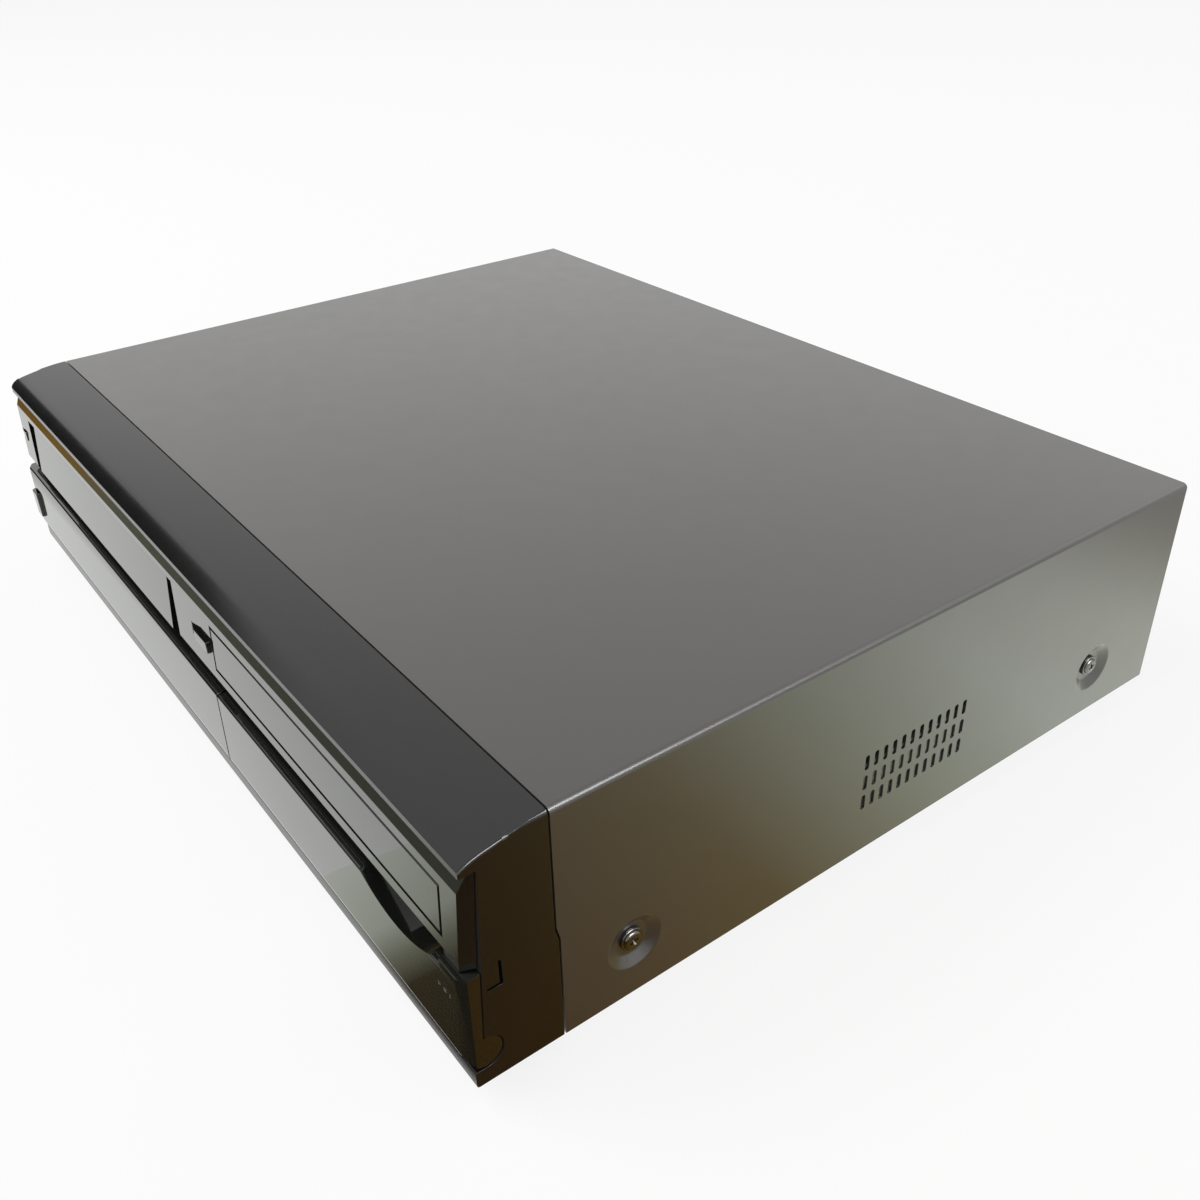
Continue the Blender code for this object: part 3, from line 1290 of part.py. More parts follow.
def make_tray():
    """Mould the disc tray with its two recesses, slot and rack, and the door on its front."""
    y0 = tray_front()
    y1 = y0 + TRAY_LENGTH
    reach = TRAY_WIDTH / 2
    outline = rectangle(DISC_X - reach, DISC_X + reach, y0, y1, DISC_RIM / 2)
    body = prism(outline, "Z", TRAY_FOOT_Z, TRAY_TOP_Z)
    tray = piece("disc_tray", "black_moulding", body, smooth=True)
    weld(tray, prism(rack_outline(), "Z", TRAY_FOOT_Z - RACK_HEIGHT, TRAY_FOOT_Z + SHEET))
    centre = (DISC_X, disc_y())
    floor = TRAY_TOP_Z - DISC_RECESS
    low = floor - SMALL_DISC_RECESS
    high = TRAY_TOP_Z + OVERRUN
    recess = turned([(0, low), (SMALL_DISC_RADIUS, low), (SMALL_DISC_RADIUS, floor), (DISC_RADIUS, floor),
                     (DISC_RADIUS, high), (0, high)], "Z", (*centre, 0), FINE_SIDES)
    carve(tray, recess)
    half = TRAY_SLOT_WIDTH / 2
    slot = rectangle(DISC_X - half, DISC_X + half, centre[1] - TRAY_SLOT_LEAD, y1 - TRAY_TAIL, DISC_RIM)
    carve(tray, prism(slot, "Z", TRAY_FOOT_Z - OVERRUN / 2, high))
    set_pivot(tray, (DISC_X, y0, TRAY_FOOT_Z))
    low = DISC_FOOT_Z + DISC_GAP
    high = DISC_TOP_Z - DISC_GAP
    face = rounded([(upper_y(low), low, EDGE_ROUND / 2), (upper_y(high), high, EDGE_ROUND / 2),
                    (upper_y(high) + DISC_DOOR_THICKNESS, high, 0),
                    (upper_y(low) + DISC_DOOR_THICKNESS, low, 0)])
    bezel = piece("tray_bezel", "gloss_moulding",
                  prism(face, "X", DISC_X0 + DISC_GAP, DISC_X1 - DISC_GAP), smooth=True)
    set_pivot(bezel, (DISC_X, y0, TRAY_FOOT_Z))


def make_pinion():
    """Make the pinion that drives the rack, with its shaft in the drive's floor."""
    place = pinion_place()
    top = TRAY_FOOT_Z - GAP
    gear = piece("tray_pinion", "white_moulding", prism(pinion_outline(), "Z", top - RACK_HEIGHT + GAP, top))
    shaft = rod("Z", place, ROD_RADIUS, DRIVE_FLOOR_Z + GAP, top - RACK_HEIGHT / 2)
    weld(gear, shaft)
    set_pivot(gear, (*place, top))


def make_drive_case():
    """Mould the open drive case with the rails that hold the tray."""
    reach = DRIVE_WIDTH / 2
    y0 = DRIVE_FRONT_Y
    y1 = y0 + DRIVE_LENGTH
    case = piece("drive_case", "black_moulding",
                 block((DISC_X - reach, DISC_X + reach), (y0, y1), (DRIVE_FLOOR_Z, DRIVE_TOP_Z)))
    inner = reach - DRIVE_WALL
    carve(case, block((DISC_X - inner, DISC_X + inner), (y0 - OVERRUN, y1 - DRIVE_WALL),
                      (DRIVE_FLOOR_Z + DRIVE_WALL, DRIVE_TOP_Z + OVERRUN)))
    weld(case, *[prism(rail_outline(side), "Y", y0, y1 - DRIVE_WALL / 2) for side in (-1, 1)])
    half = TRAVERSE_WIDTH / 2 - TRAVERSE_SHELF
    y = disc_y()
    window = rectangle(DISC_X - half, DISC_X + half, y + TRAVERSE_SHELF - TRAVERSE_LEAD,
                       y + TRAVERSE_TAIL - TRAVERSE_SHELF, DISC_RIM)
    through = (DRIVE_FLOOR_Z - OVERRUN, DRIVE_FLOOR_Z + DRIVE_WALL + OVERRUN)
    pin = rod("Z", pinion_place(), ROD_RADIUS + GAP, *through)
    carve(case, prism(window, "Z", *through), pin)


def rail_outline(side):
    """Return the section of the rail that holds one edge of the tray."""
    wall = DRIVE_WIDTH / 2 - DRIVE_WALL / 2
    edge = TRAY_WIDTH / 2 + TRAY_PLAY
    grip = edge - RAIL_GRIP
    low = TRAY_FOOT_Z - GAP
    high = TRAY_TOP_Z + GAP
    half = [(wall, low - RAIL_THICKNESS), (wall, high + RAIL_THICKNESS), (grip, high + RAIL_THICKNESS),
            (grip, high), (edge, high), (edge, low), (grip, low), (grip, low - RAIL_THICKNESS)]
    return [(DISC_X + side * a, b) for a, b in half]


def make_drive_cover():
    """Make the drive's sheet cover and the clamp puck that hangs in it."""
    reach = DRIVE_WIDTH / 2
    low = DRIVE_TOP_Z + GAP
    outline = rectangle(DISC_X - reach, DISC_X + reach, DRIVE_FRONT_Y, DRIVE_FRONT_Y + DRIVE_LENGTH, DISC_RIM)
    cover = piece("drive_cover", "zinc_steel", prism(outline, "Z", low, low + SHEET))
    centre = (DISC_X, disc_y())
    carve(cover, rod("Z", centre, PUCK_NECK + GAP, low - OVERRUN, low + SHEET + OVERRUN, ROUND_SIDES))
    foot = TRAY_TOP_Z + SHEET
    seat = low + SHEET + GAP
    profile = [(0, foot), (PUCK_RADIUS, foot), (PUCK_RADIUS, foot + PUCK_THICKNESS),
               (PUCK_NECK, foot + PUCK_THICKNESS), (PUCK_NECK, seat), (PUCK_RADIUS, seat),
               (PUCK_RADIUS, seat + PUCK_THICKNESS / 2), (0, seat + PUCK_THICKNESS / 2)]
    piece("clamp_puck", "white_moulding", turned(profile, "Z", (*centre, 0)), smooth=True)


def make_traverse():
    """Make the traverse plate with its motor, the rods, the turntable and the pickup sled."""
    y = disc_y()
    half = TRAVERSE_WIDTH / 2
    low = DRIVE_FLOOR_Z + DRIVE_WALL + GAP
    top = low + SHEET
    plate = prism(rectangle(DISC_X - half, DISC_X + half, y - TRAVERSE_LEAD, y + TRAVERSE_TAIL, DISC_RIM),
                  "Z", low, top)
    traverse = piece("traverse", "zinc_steel", plate, smooth=True)
    crest = top + MOTOR_HEIGHT
    rod_z = top + SLED_HEIGHT / 2 + GAP
    block_y = (y + SLED_LEAD - ROD_BLOCK - OVERRUN, y + TRAVERSE_TAIL - 2 * ROD_BLOCK)
    reach = ROD_OFFSET + ROD_RADIUS + OVERRUN
    blocks = [block((DISC_X - reach, DISC_X + reach), (start, start + ROD_BLOCK),
                    (low + SHEET / 2, rod_z + ROD_RADIUS + SHEET)) for start in block_y]
    can = rod("Z", (DISC_X, y), MOTOR_RADIUS, low + SHEET / 2, crest, ROUND_SIDES)
    weld(traverse, can, *blocks)
    middle = ROD_BLOCK / 2
    weld(traverse, *[rod("Y", (DISC_X + side * ROD_OFFSET, rod_z), ROD_RADIUS, block_y[0] + middle,
                         block_y[1] + middle) for side in (-1, 1)])
    carve(traverse, rod("Z", (DISC_X, y), SPINDLE_RADIUS + GAP, top, crest + OVERRUN))
    table = crest + GAP
    brim = TRAY_FOOT_Z - GAP
    profile = [(0, top + GAP), (SPINDLE_RADIUS, top + GAP), (SPINDLE_RADIUS, table),
               (TURNTABLE_RADIUS, table), (TURNTABLE_RADIUS, table + SHEET), (HUB_RADIUS, table + SHEET),
               (HUB_RADIUS, brim - SHEET), (HUB_RADIUS - SHEET, brim), (0, brim)]
    turntable = piece("turntable", "black_moulding", turned(profile, "Z", (DISC_X, y, 0)), smooth=True)
    set_pivot(turntable, (DISC_X, y, table))
    start = y + SLED_LEAD
    body = block((DISC_X - reach, DISC_X + reach), (start, start + SLED_LENGTH),
                 (top + GAP, top + GAP + SLED_HEIGHT))
    sled = piece("pickup_sled", "dark_moulding", body, smooth=True)
    lens = rod("Z", (DISC_X, start + SLED_LENGTH / 2), LENS_RADIUS, top + SLED_HEIGHT / 2,
               top + GAP + SLED_HEIGHT + LENS_HEIGHT)
    weld(sled, lens)
    carve(sled, *[rod("Y", (DISC_X + side * ROD_OFFSET, rod_z), ROD_RADIUS + GAP, start - OVERRUN,
                      start + SLED_LENGTH + OVERRUN) for side in (-1, 1)])
    set_pivot(sled, (DISC_X, start, top))


# Tape deck
def make_deck():
    """Fold the deck's chassis, with slots for the carrier's pins and posts for the reels."""
    high = CARRIER_Z + DECK_CHEEK_RISE
    outer = DECK_HALF + DECK_SHEET
    outline = [(DECK_X - outer, DECK_Z), (DECK_X + outer, DECK_Z), (DECK_X + outer, high),
               (DECK_X + DECK_HALF, high), (DECK_X + DECK_HALF, DECK_TOP_Z),
               (DECK_X - DECK_HALF, DECK_TOP_Z), (DECK_X - DECK_HALF, high), (DECK_X - outer, high)]
    deck = piece("deck_chassis", "zinc_steel",
                 prism(outline, "Y", DECK_FRONT_Y, DECK_FRONT_Y + DECK_LENGTH))
    posts = [rod("Z", place, REEL_BORE - GAP, DECK_Z + DECK_SHEET / 2, DECK_TOP_Z + REEL_HEIGHT - SHEET)
             for place in reel_places()]
    roller = rod("Z", roller_place(), ROLLER_POST, DECK_Z + DECK_SHEET / 2,
                 DECK_TOP_Z + ROLLER_RISE + ROLLER_HEIGHT - SHEET)
    foot = rod("Z", roller_place(), ROLLER_POST * 2, DECK_Z + DECK_SHEET / 2, DECK_TOP_Z + ROLLER_RISE - GAP)
    weld(deck, *posts, foot)
    weld(deck, roller)
    radius = CARRIER_PIN_RADIUS + GAP
    high = CARRIER_Z + CARRIER_PIN_RISE + radius
    low = high - CARRIER_TRAVEL - 2 * radius
    reach = outer + OVERRUN
    slots = [block((DECK_X - reach, DECK_X + reach), (y - radius, y + radius), (low, high))
             for y in carrier_pins()]
    bearing = rod("Z", (DECK_X + CAPSTAN_X, CAPSTAN_Y), CAPSTAN_RADIUS + GAP, DECK_Z - OVERRUN,
                  DECK_TOP_Z + OVERRUN)
    carve(deck, *slots, bearing)


def carrier_pins():
    """Return the depths of the carrier's pins."""
    return (CARRIER_FRONT_Y + CARRIER_PIN_INSET, CARRIER_FRONT_Y + CARRIER_LENGTH - CARRIER_PIN_INSET)


def reel_places():
    """Return the axes of the two reels."""
    return [(DECK_X - REEL_OFFSET, REEL_Y), (DECK_X + REEL_OFFSET, REEL_Y)]


def roller_place():
    """Return the pinch roller's axis, beside the capstan."""
    return DECK_X + CAPSTAN_X + CAPSTAN_RADIUS + ROLLER_RADIUS + GAP, CAPSTAN_Y


def make_carrier():
    """Fold the cassette carrier, open in front, with windows for the reels and its four pins."""
    top = CARRIER_Z + CARRIER_HEIGHT
    half = CARRIER_HALF
    inner = half - SHEET
    lip = half - CARRIER_FLANGE
    outline = [(DECK_X + a, z) for a, z in (
        (-half, CARRIER_Z), (half, CARRIER_Z), (half, top), (lip, top), (lip, top - SHEET),
        (inner, top - SHEET), (inner, CARRIER_Z + SHEET), (-inner, CARRIER_Z + SHEET),
        (-inner, top - SHEET), (-lip, top - SHEET), (-lip, top), (-half, top))]
    carrier = piece("cassette_carrier", "zinc_steel",
                    prism(outline, "Y", CARRIER_FRONT_Y, CARRIER_FRONT_Y + CARRIER_LENGTH))
    z = CARRIER_Z + CARRIER_PIN_RISE
    far = DECK_HALF + DECK_SHEET
    pins = []
    for y in carrier_pins():
        pins.append(rod("X", (y, z), CARRIER_PIN_RADIUS, DECK_X - far, DECK_X - half + SHEET / 2))
        pins.append(rod("X", (y, z), CARRIER_PIN_RADIUS, DECK_X + half - SHEET / 2, DECK_X + far))
    weld(carrier, *pins)
    through = (CARRIER_Z - OVERRUN, CARRIER_Z + SHEET + OVERRUN)
    carve(carrier, *[rod("Z", place, REEL_WINDOW, *through, ROUND_SIDES) for place in reel_places()])
    set_pivot(carrier, (DECK_X, CARRIER_FRONT_Y, CARRIER_Z))


def make_reels():
    """Make the two reel tables, each on its post."""
    low = DECK_TOP_Z + GAP
    top = low + REEL_HEIGHT
    profile = [(REEL_BORE, low), (REEL_RADIUS, low), (REEL_RADIUS, low + REEL_FLANGE),
               (REEL_HUB, low + REEL_FLANGE), (REEL_HUB, top - SHEET), (REEL_HUB - SHEET, top),
               (REEL_BORE, top)]
    for name, place in zip(("supply_reel", "takeup_reel"), reel_places()):
        reel = piece(name, "dark_moulding", turned(profile, "Z", (*place, 0)), smooth=True)
        set_pivot(reel, (*place, low))


def drum_axis():
    """Return the tilted frame of the drum, on its foot."""
    turn = Matrix.Rotation(math.radians(DRUM_TILT), 4, "X")
    return Matrix.Translation((DECK_X, DRUM_Y, DECK_TOP_Z + DRUM_FOOT)) @ turn


def make_drum():
    """Make the tilted tape drum: the fixed lower half with its shaft and the turning upper half."""
    half = DRUM_RADIUS * DRUM_FOOT_SHARE
    low = DECK_TOP_Z + GAP
    foot = block((DECK_X - half, DECK_X + half), (DRUM_Y - half, DRUM_Y + half),
                 (low, DECK_TOP_Z + DRUM_FOOT))
    base = piece("drum_base", "steel", foot, smooth=True)
    origin = (0, 0, 0)
    sink = DRUM_FOOT / 3
    top = DRUM_LOWER + GAP + DRUM_UPPER
    lower = turned([(0, -sink), (DRUM_RADIUS, -sink), (DRUM_RADIUS, DRUM_LOWER), (DRUM_SHAFT, DRUM_LOWER),
                    (DRUM_SHAFT, top), (0, top)], "Z", origin, FINE_SIDES)
    weld(base, moved(lower, drum_axis()))
    start = DRUM_LOWER + GAP
    bore = DRUM_SHAFT + GAP
    upper = turned([(bore, start), (DRUM_RADIUS, start), (DRUM_RADIUS, top - SHEET),
                    (DRUM_RADIUS - SHEET, top), (bore, top)], "Z", origin, FINE_SIDES)
    drum = piece("head_drum", "steel", moved(upper, drum_axis()), smooth=True)
    set_pivot(drum, drum_axis() @ Vector((0, 0, start)))


def make_capstan():
    """Make the capstan with its flywheel under the deck, and the pinch roller beside it."""
    place = (DECK_X + CAPSTAN_X, CAPSTAN_Y)
    top = DECK_Z - FLYWHEEL_DROP
    low = top - FLYWHEEL_THICKNESS
    profile = [(0, low), (FLYWHEEL_RADIUS, low), (FLYWHEEL_RADIUS, top), (CAPSTAN_RADIUS, top),
               (CAPSTAN_RADIUS, DECK_TOP_Z + CAPSTAN_TOP), (0, DECK_TOP_Z + CAPSTAN_TOP)]
    capstan = piece("capstan", "steel", turned(profile, "Z", (*place, 0), ROUND_SIDES), smooth=True)
    set_pivot(capstan, (*place, top))
    low = DECK_TOP_Z + ROLLER_RISE
    bore = ROLLER_POST + GAP
    high = low + ROLLER_HEIGHT
    profile = [(bore, low), (ROLLER_RADIUS, low), (ROLLER_RADIUS, high), (bore, high)]
    roller = piece("pinch_roller", "rubber", turned(profile, "Z", (*roller_place(), 0)), smooth=True)
    set_pivot(roller, (*roller_place(), low))


def make_loading_motor():
    """Make the deck's loading motor, lying across the back."""
    centre = (LOADER_Y, DECK_TOP_Z + LOADER_RADIUS + GAP)
    x = DECK_X - DECK_HALF + LOADER_INSET
    motor = piece("loading_motor", "zinc_steel",
                  rod("X", centre, LOADER_RADIUS, x - LOADER_LENGTH / 2, x + LOADER_LENGTH / 2, ROUND_SIDES),
                  smooth=True)
    weld(motor, rod("X", centre, ROD_RADIUS, x - LOADER_LENGTH / 2 - BOARD_EDGE, x))


# Pan, boards, disk, fan and back
def pan_posts():
    """Return the posts that carry the deck, the drive and the boards, down to the pan."""
    low = SHEET / 2
    posts = []
    deck_x = DECK_HALF - DECK_Z
    for side in (-1, 1):
        for y in (DECK_FRONT_Y + DECK_Z, DECK_FRONT_Y + DECK_LENGTH - DECK_Z):
            posts.append(rod("Z", (DECK_X + side * deck_x, y), POST_RADIUS, low, DECK_Z - GAP, POST_SIDES))
        drive_x = DISC_X + side * (DRIVE_WIDTH / 2 - 2 * POST_RADIUS)
        for y in (PAN_FRONT_Y + 2 * POST_RADIUS, DRIVE_FRONT_Y + DRIVE_LENGTH - 4 * POST_RADIUS):
            posts.append(rod("Z", (drive_x, y), POST_RADIUS, low, DRIVE_FLOOR_Z - GAP, POST_SIDES))
    for (x0, x1), (y0, y1) in (main_board_span(), power_board_span()):
        for x in (x0 + BOARD_EDGE, x1 - BOARD_EDGE):
            for y in (y0 + BOARD_EDGE, y1 - BOARD_EDGE):
                posts.append(rod("Z", (x, y), POST_RADIUS, low, BOARD_Z - GAP, POST_SIDES))
    return posts


def pan_slots():
    """Return the air slots in the pan under the fan."""
    start = FAN_X - (PAN_SLOT_COUNT - 1) * PAN_SLOT_PITCH / 2
    middle = COVER_LENGTH - BOARD_BAY / 2
    slots = []
    for index in range(PAN_SLOT_COUNT):
        x = start + index * PAN_SLOT_PITCH
        outline = rectangle(x - PAN_SLOT_WIDTH / 2, x + PAN_SLOT_WIDTH / 2, middle - PAN_SLOT_LENGTH / 2,
                            middle + PAN_SLOT_LENGTH / 2, PAN_SLOT_ROUND, VENT_STEPS)
        slots.append(prism(outline, "Z", -OVERRUN, SHEET + OVERRUN))
    return slots


def rear_board_depth():
    """Return the span from front to back of the rear boards."""
    back = BACK_Y - SHEET - REAR_BOARD_INSET
    return back - REAR_BOARD_DEPTH, back


def main_board_span():
    """Return the spans of the main board."""
    right = pan_edge_x() - SHEET - BRACKET_INSET
    return (right - MAIN_BOARD_WIDTH + MAIN_BOARD_INSET, right), rear_board_depth()


def power_board_span():
    """Return the spans of the power board."""
    left = -(pan_edge_x() - SHEET - BRACKET_INSET)
    return (left, left + POWER_BOARD_WIDTH), rear_board_depth()


def make_rear_boards():
    """Make the main board with its chips and the power board with its coil and cans."""
    across, deep = main_board_span()
    top = BOARD_Z + BOARD_THICKNESS
    main = piece("main_board", "board", block(across, deep, (BOARD_Z, top)))
    middle = sum(deep) / 2
    chips = []
    for share in CHIP_SHARES:
        x = across[0] + (across[1] - across[0]) * share
        half = CHIP_SIZE / 2
        chips.append(block((x - half, x + half), (middle - half, middle + half),
                           (top - BOARD_THICKNESS / 2, top + CHIP_HEIGHT)))
    weld(main, *chips)
    across, deep = power_board_span()
    power = piece("power_board", "board", block(across, deep, (BOARD_Z, top)), smooth=True)
    x = sum(across) / 2
    low = top - BOARD_THICKNESS / 2
    half = COIL_SIZE / 2
    near = deep[0] + COIL_SIZE / 2 + 2 * BOARD_EDGE
    coil = prism(rectangle(x - half, x + half, near - half, near + half, BOARD_EDGE), "Z",
                 low, top + COIL_HEIGHT)
    cans = [rod("Z", (x + side * COIL_SIZE, near), CAN_RADIUS, low, top + CAN_HEIGHT, ROUND_SIDES)
            for side in (-1, 1)]
    weld(power, coil, *cans)


def make_hard_disk():
    """Make the hard disk on its folded bracket over the main board."""
    (x0, x1), (y0, _) = main_board_span()
    left = x0 - BOARD_EDGE
    right = x1 + BOARD_EDGE
    top = BRACKET_Z + SHEET
    low = SHEET + GAP
    outline = [(left, low), (left + SHEET, low), (left + SHEET, BRACKET_Z), (right - SHEET, BRACKET_Z),
               (right - SHEET, low), (right, low), (right, top), (left, top)]
    start = y0 - BOARD_EDGE
    piece("disk_bracket", "zinc_steel", prism(outline, "Y", start, start + BRACKET_DEPTH))
    x = (left + right) / 2
    wide = DISK_WIDTH / 2
    stop = BACK_Y - SHEET - GAP - RCA_BLOCK_DEPTH - DISK_CLEARANCE
    disk = rectangle(x - wide, x + wide, stop - DISK_DEPTH, stop, BOARD_EDGE)
    piece("hard_disk", "zinc_steel", prism(disk, "Z", top + GAP, top + GAP + DISK_HEIGHT), smooth=True)


def fan_struts():
    """Return the fan frame's struts and hub."""
    hub_back = BACK_Y - SHEET - GAP
    hub_front = hub_back - FAN_STRUT
    forms = []
    for index in range(FAN_STRUTS):
        turn = 2 * math.pi * index / FAN_STRUTS
        strut = block((FAN_HUB / 2, FAN_BORE + FAN_STRUT / 2), (hub_front, hub_back),
                      (-FAN_STRUT / 2, FAN_STRUT / 2))
        matrix = Matrix.Translation((FAN_X, 0, FAN_Z)) @ Matrix.Rotation(turn, 4, "Y")
        forms.append(moved(strut, matrix))
    return forms


def make_fan():
    """Make the fan's frame with its struts and pin, and the bladed rotor on that pin."""
    half = FAN_SIZE / 2
    back = BACK_Y - SHEET - GAP
    front = back - FAN_DEPTH
    outline = rectangle(FAN_X - half, FAN_X + half, FAN_Z - half, FAN_Z + half, FAN_STRUT)
    frame = piece("fan_frame", "black_moulding", prism(outline, "Y", front, back), smooth=True)
    centre = (FAN_X, FAN_Z)
    carve(frame, rod("Y", centre, FAN_BORE, front - OVERRUN, back + OVERRUN, FINE_SIDES))
    weld(frame, *fan_struts())
    pin_front = front + FAN_STRUT
    hub_front = back - FAN_STRUT
    profile = [(0, pin_front), (ROD_RADIUS, pin_front), (ROD_RADIUS, hub_front), (FAN_HUB, hub_front),
               (FAN_HUB, back), (0, back)]
    weld(frame, turned(profile, "Y", (FAN_X, 0, FAN_Z)))
    start = front + SHEET
    stop = hub_front - GAP
    bore = ROD_RADIUS + GAP
    deep = pin_front - GAP
    profile = [(0, start), (FAN_HUB, start), (FAN_HUB, stop), (bore, stop), (bore, deep), (0, deep)]
    rotor = piece("fan_rotor", "dark_moulding", turned(profile, "Y", (FAN_X, 0, FAN_Z)), smooth=True)
    blades = []
    middle = (start + stop) / 2
    for index in range(FAN_BLADES):
        blade = block((-FAN_BLADE_THICKNESS / 2, FAN_BLADE_THICKNESS / 2),
                      (-FAN_BLADE_WIDTH / 2, FAN_BLADE_WIDTH / 2), (FAN_HUB - SHEET, FAN_BORE - SHEET))
        pitch = Matrix.Rotation(math.radians(FAN_BLADE_PITCH), 4, "Z")
        turn = Matrix.Rotation(2 * math.pi * index / FAN_BLADES, 4, "Y")
        blades.append(moved(blade, Matrix.Translation((FAN_X, middle, FAN_Z)) @ turn @ pitch))
    weld(rotor, *blades)
    set_pivot(rotor, (FAN_X, middle, FAN_Z))


def rca_places():
    """Return the centres of the jacks at the back."""
    start = RCA_X - (RCA_COLUMNS - 1) * RCA_PITCH / 2
    return [(start + column * RCA_PITCH, RCA_Z + row * RCA_PITCH)
            for row in range(RCA_ROWS) for column in range(RCA_COLUMNS)]


def aerial_places():
    """Return the centres of the two aerial sockets."""
    return [(AERIAL_X, AERIAL_Z), (AERIAL_X, AERIAL_Z + AERIAL_PITCH)]


def socket_spans():
    """Return the name, spans, depth and wall of the two small board sockets."""
    return [("lan_socket", (LAN_X - LAN_WIDTH / 2, LAN_X + LAN_WIDTH / 2),
             (SOCKET_Z - LAN_HEIGHT / 2, SOCKET_Z + LAN_HEIGHT / 2), LAN_DEPTH, LAN_WALL),
            ("hdmi_socket", (HDMI_X - HDMI_WIDTH / 2, HDMI_X + HDMI_WIDTH / 2),
             (SOCKET_Z - LAN_HEIGHT / 2, SOCKET_Z - LAN_HEIGHT / 2 + HDMI_HEIGHT), HDMI_DEPTH, HDMI_WALL)]


def inlet_span():
    """Return the spans of the mains inlet in the back."""
    return ((INLET_X - INLET_WIDTH / 2, INLET_X + INLET_WIDTH / 2),
            (INLET_Z - INLET_HEIGHT / 2, INLET_Z + INLET_HEIGHT / 2))


def make_rear_panel():
    """Cut the back sheet, with its holes for the fan, the inlet and the sockets."""
    low = SHEET + GAP
    top = COVER_HEIGHT - SHEET - GAP
    narrow = pan_edge_x() - SHEET - GAP
    wide = HALF_WIDTH - SHEET - GAP
    step = PAN_EDGE_HEIGHT + GAP
    corner = CORNER_ROUND - SHEET
    outline = rounded([(-narrow, low, 0), (narrow, low, 0), (narrow, step, 0), (wide, step, 0),
                       (wide, top, corner), (-wide, top, corner), (-wide, step, 0), (-narrow, step, 0)])
    panel = piece("rear_panel", "painted_steel", prism(outline, "Y", BACK_Y - SHEET, BACK_Y))
    start = BACK_Y - SHEET - OVERRUN
    stop = BACK_Y + OVERRUN
    cuts = [rod("Y", place, RCA_SLEEVE + GAP, start, stop) for place in rca_places()]
    cuts += [rod("Y", place, AERIAL_RADIUS + GAP, start, stop) for place in aerial_places()]
    spans = [(across, high) for _, across, high, _, _ in socket_spans()] + [inlet_span()]
    for across, high in spans:
        cuts.append(block((across[0] - GAP, across[1] + GAP), (start, stop), (high[0] - GAP, high[1] + GAP)))
    cuts += fan_grille(start, stop)
    carve(panel, *cuts)


def fan_grille(start, stop):
    """Return the arc slots in the back over the fan, in two rings."""
    cuts = []
    step = 360 / GRILLE_SLOTS
    for ring_share in GRILLE_SHARES:
        radius = FAN_BORE * ring_share
        for index in range(GRILLE_SLOTS):
            first = step * index + (step - GRILLE_SWEEP) / 2
            last = first + GRILLE_SWEEP
            outer = arc((FAN_X, FAN_Z), radius + GRILLE_SLOT_HALF, first, last, GRILLE_STEPS)
            inner = arc((FAN_X, FAN_Z), radius - GRILLE_SLOT_HALF, last, first, GRILLE_STEPS)
            cuts.append(prism(outer + inner, "Y", start, stop))
    return cuts


def make_rear_sockets():
    """Make the mains inlet, the jacks, the aerial sockets and the board sockets."""
    inside = BACK_Y - SHEET - GAP
    end = COVER_LENGTH + JACK_REACH
    half = RCA_PITCH / 2 - GAP
    places = rca_places()
    body = block((places[0][0] - half, places[-1][0] + half), (inside - RCA_BLOCK_DEPTH, inside),
                 (places[0][1] - half, places[-1][1] + half))
    jacks = piece("rca_block", "black_moulding", body, smooth=True)
    weld(jacks, *[rod("Y", place, RCA_SLEEVE, inside - SHEET, end) for place in places])
    carve(jacks, *[rod("Y", place, RCA_BORE, inside, end + OVERRUN, POST_SIDES) for place in places])
    half = AERIAL_WIDTH / 2
    places = aerial_places()
    body = block((AERIAL_X - half, AERIAL_X + half), (inside - AERIAL_DEPTH, inside),
                 (places[0][1] - half, places[-1][1] + half))
    aerial = piece("antenna_block", "zinc_steel", body, smooth=True)
    weld(aerial, *[rod("Y", place, AERIAL_RADIUS, inside - SHEET, end) for place in places])
    carve(aerial, *[rod("Y", place, RCA_BORE, inside, end + OVERRUN, POST_SIDES) for place in places])
    for name, across, high, deep, wall in socket_spans():
        face = BACK_Y
        shell = piece(name, "zinc_steel", block(across, (face - deep, face), high))
        carve(shell, block((across[0] + wall, across[1] - wall), (face - deep + 2 * wall, face + OVERRUN),
                           (high[0] + wall, high[1] - wall)))
    across, high = inlet_span()
    front = inside - INLET_DEPTH
    outside = BACK_Y + INLET_PROUD
    inlet = piece("ac_inlet", "black_moulding", block(across, (front, outside), high), smooth=True)
    wall = INLET_WALL
    carve(inlet, prism(rectangle(across[0] + wall, across[1] - wall, high[0] + wall, high[1] - wall, wall),
                       "Y", front + wall, outside + OVERRUN))
    pins = [rod("Y", (INLET_X + side * INLET_HEIGHT / 4, INLET_Z), INLET_PIN, front + wall / 2,
                BACK_Y - SHEET) for side in (-1, 1)]
    weld(inlet, *pins)


def clear_scene():
    """Remove every object of the scene."""
    for obj in list(bpy.data.objects):
        bpy.data.objects.remove(obj, do_unlink=True)


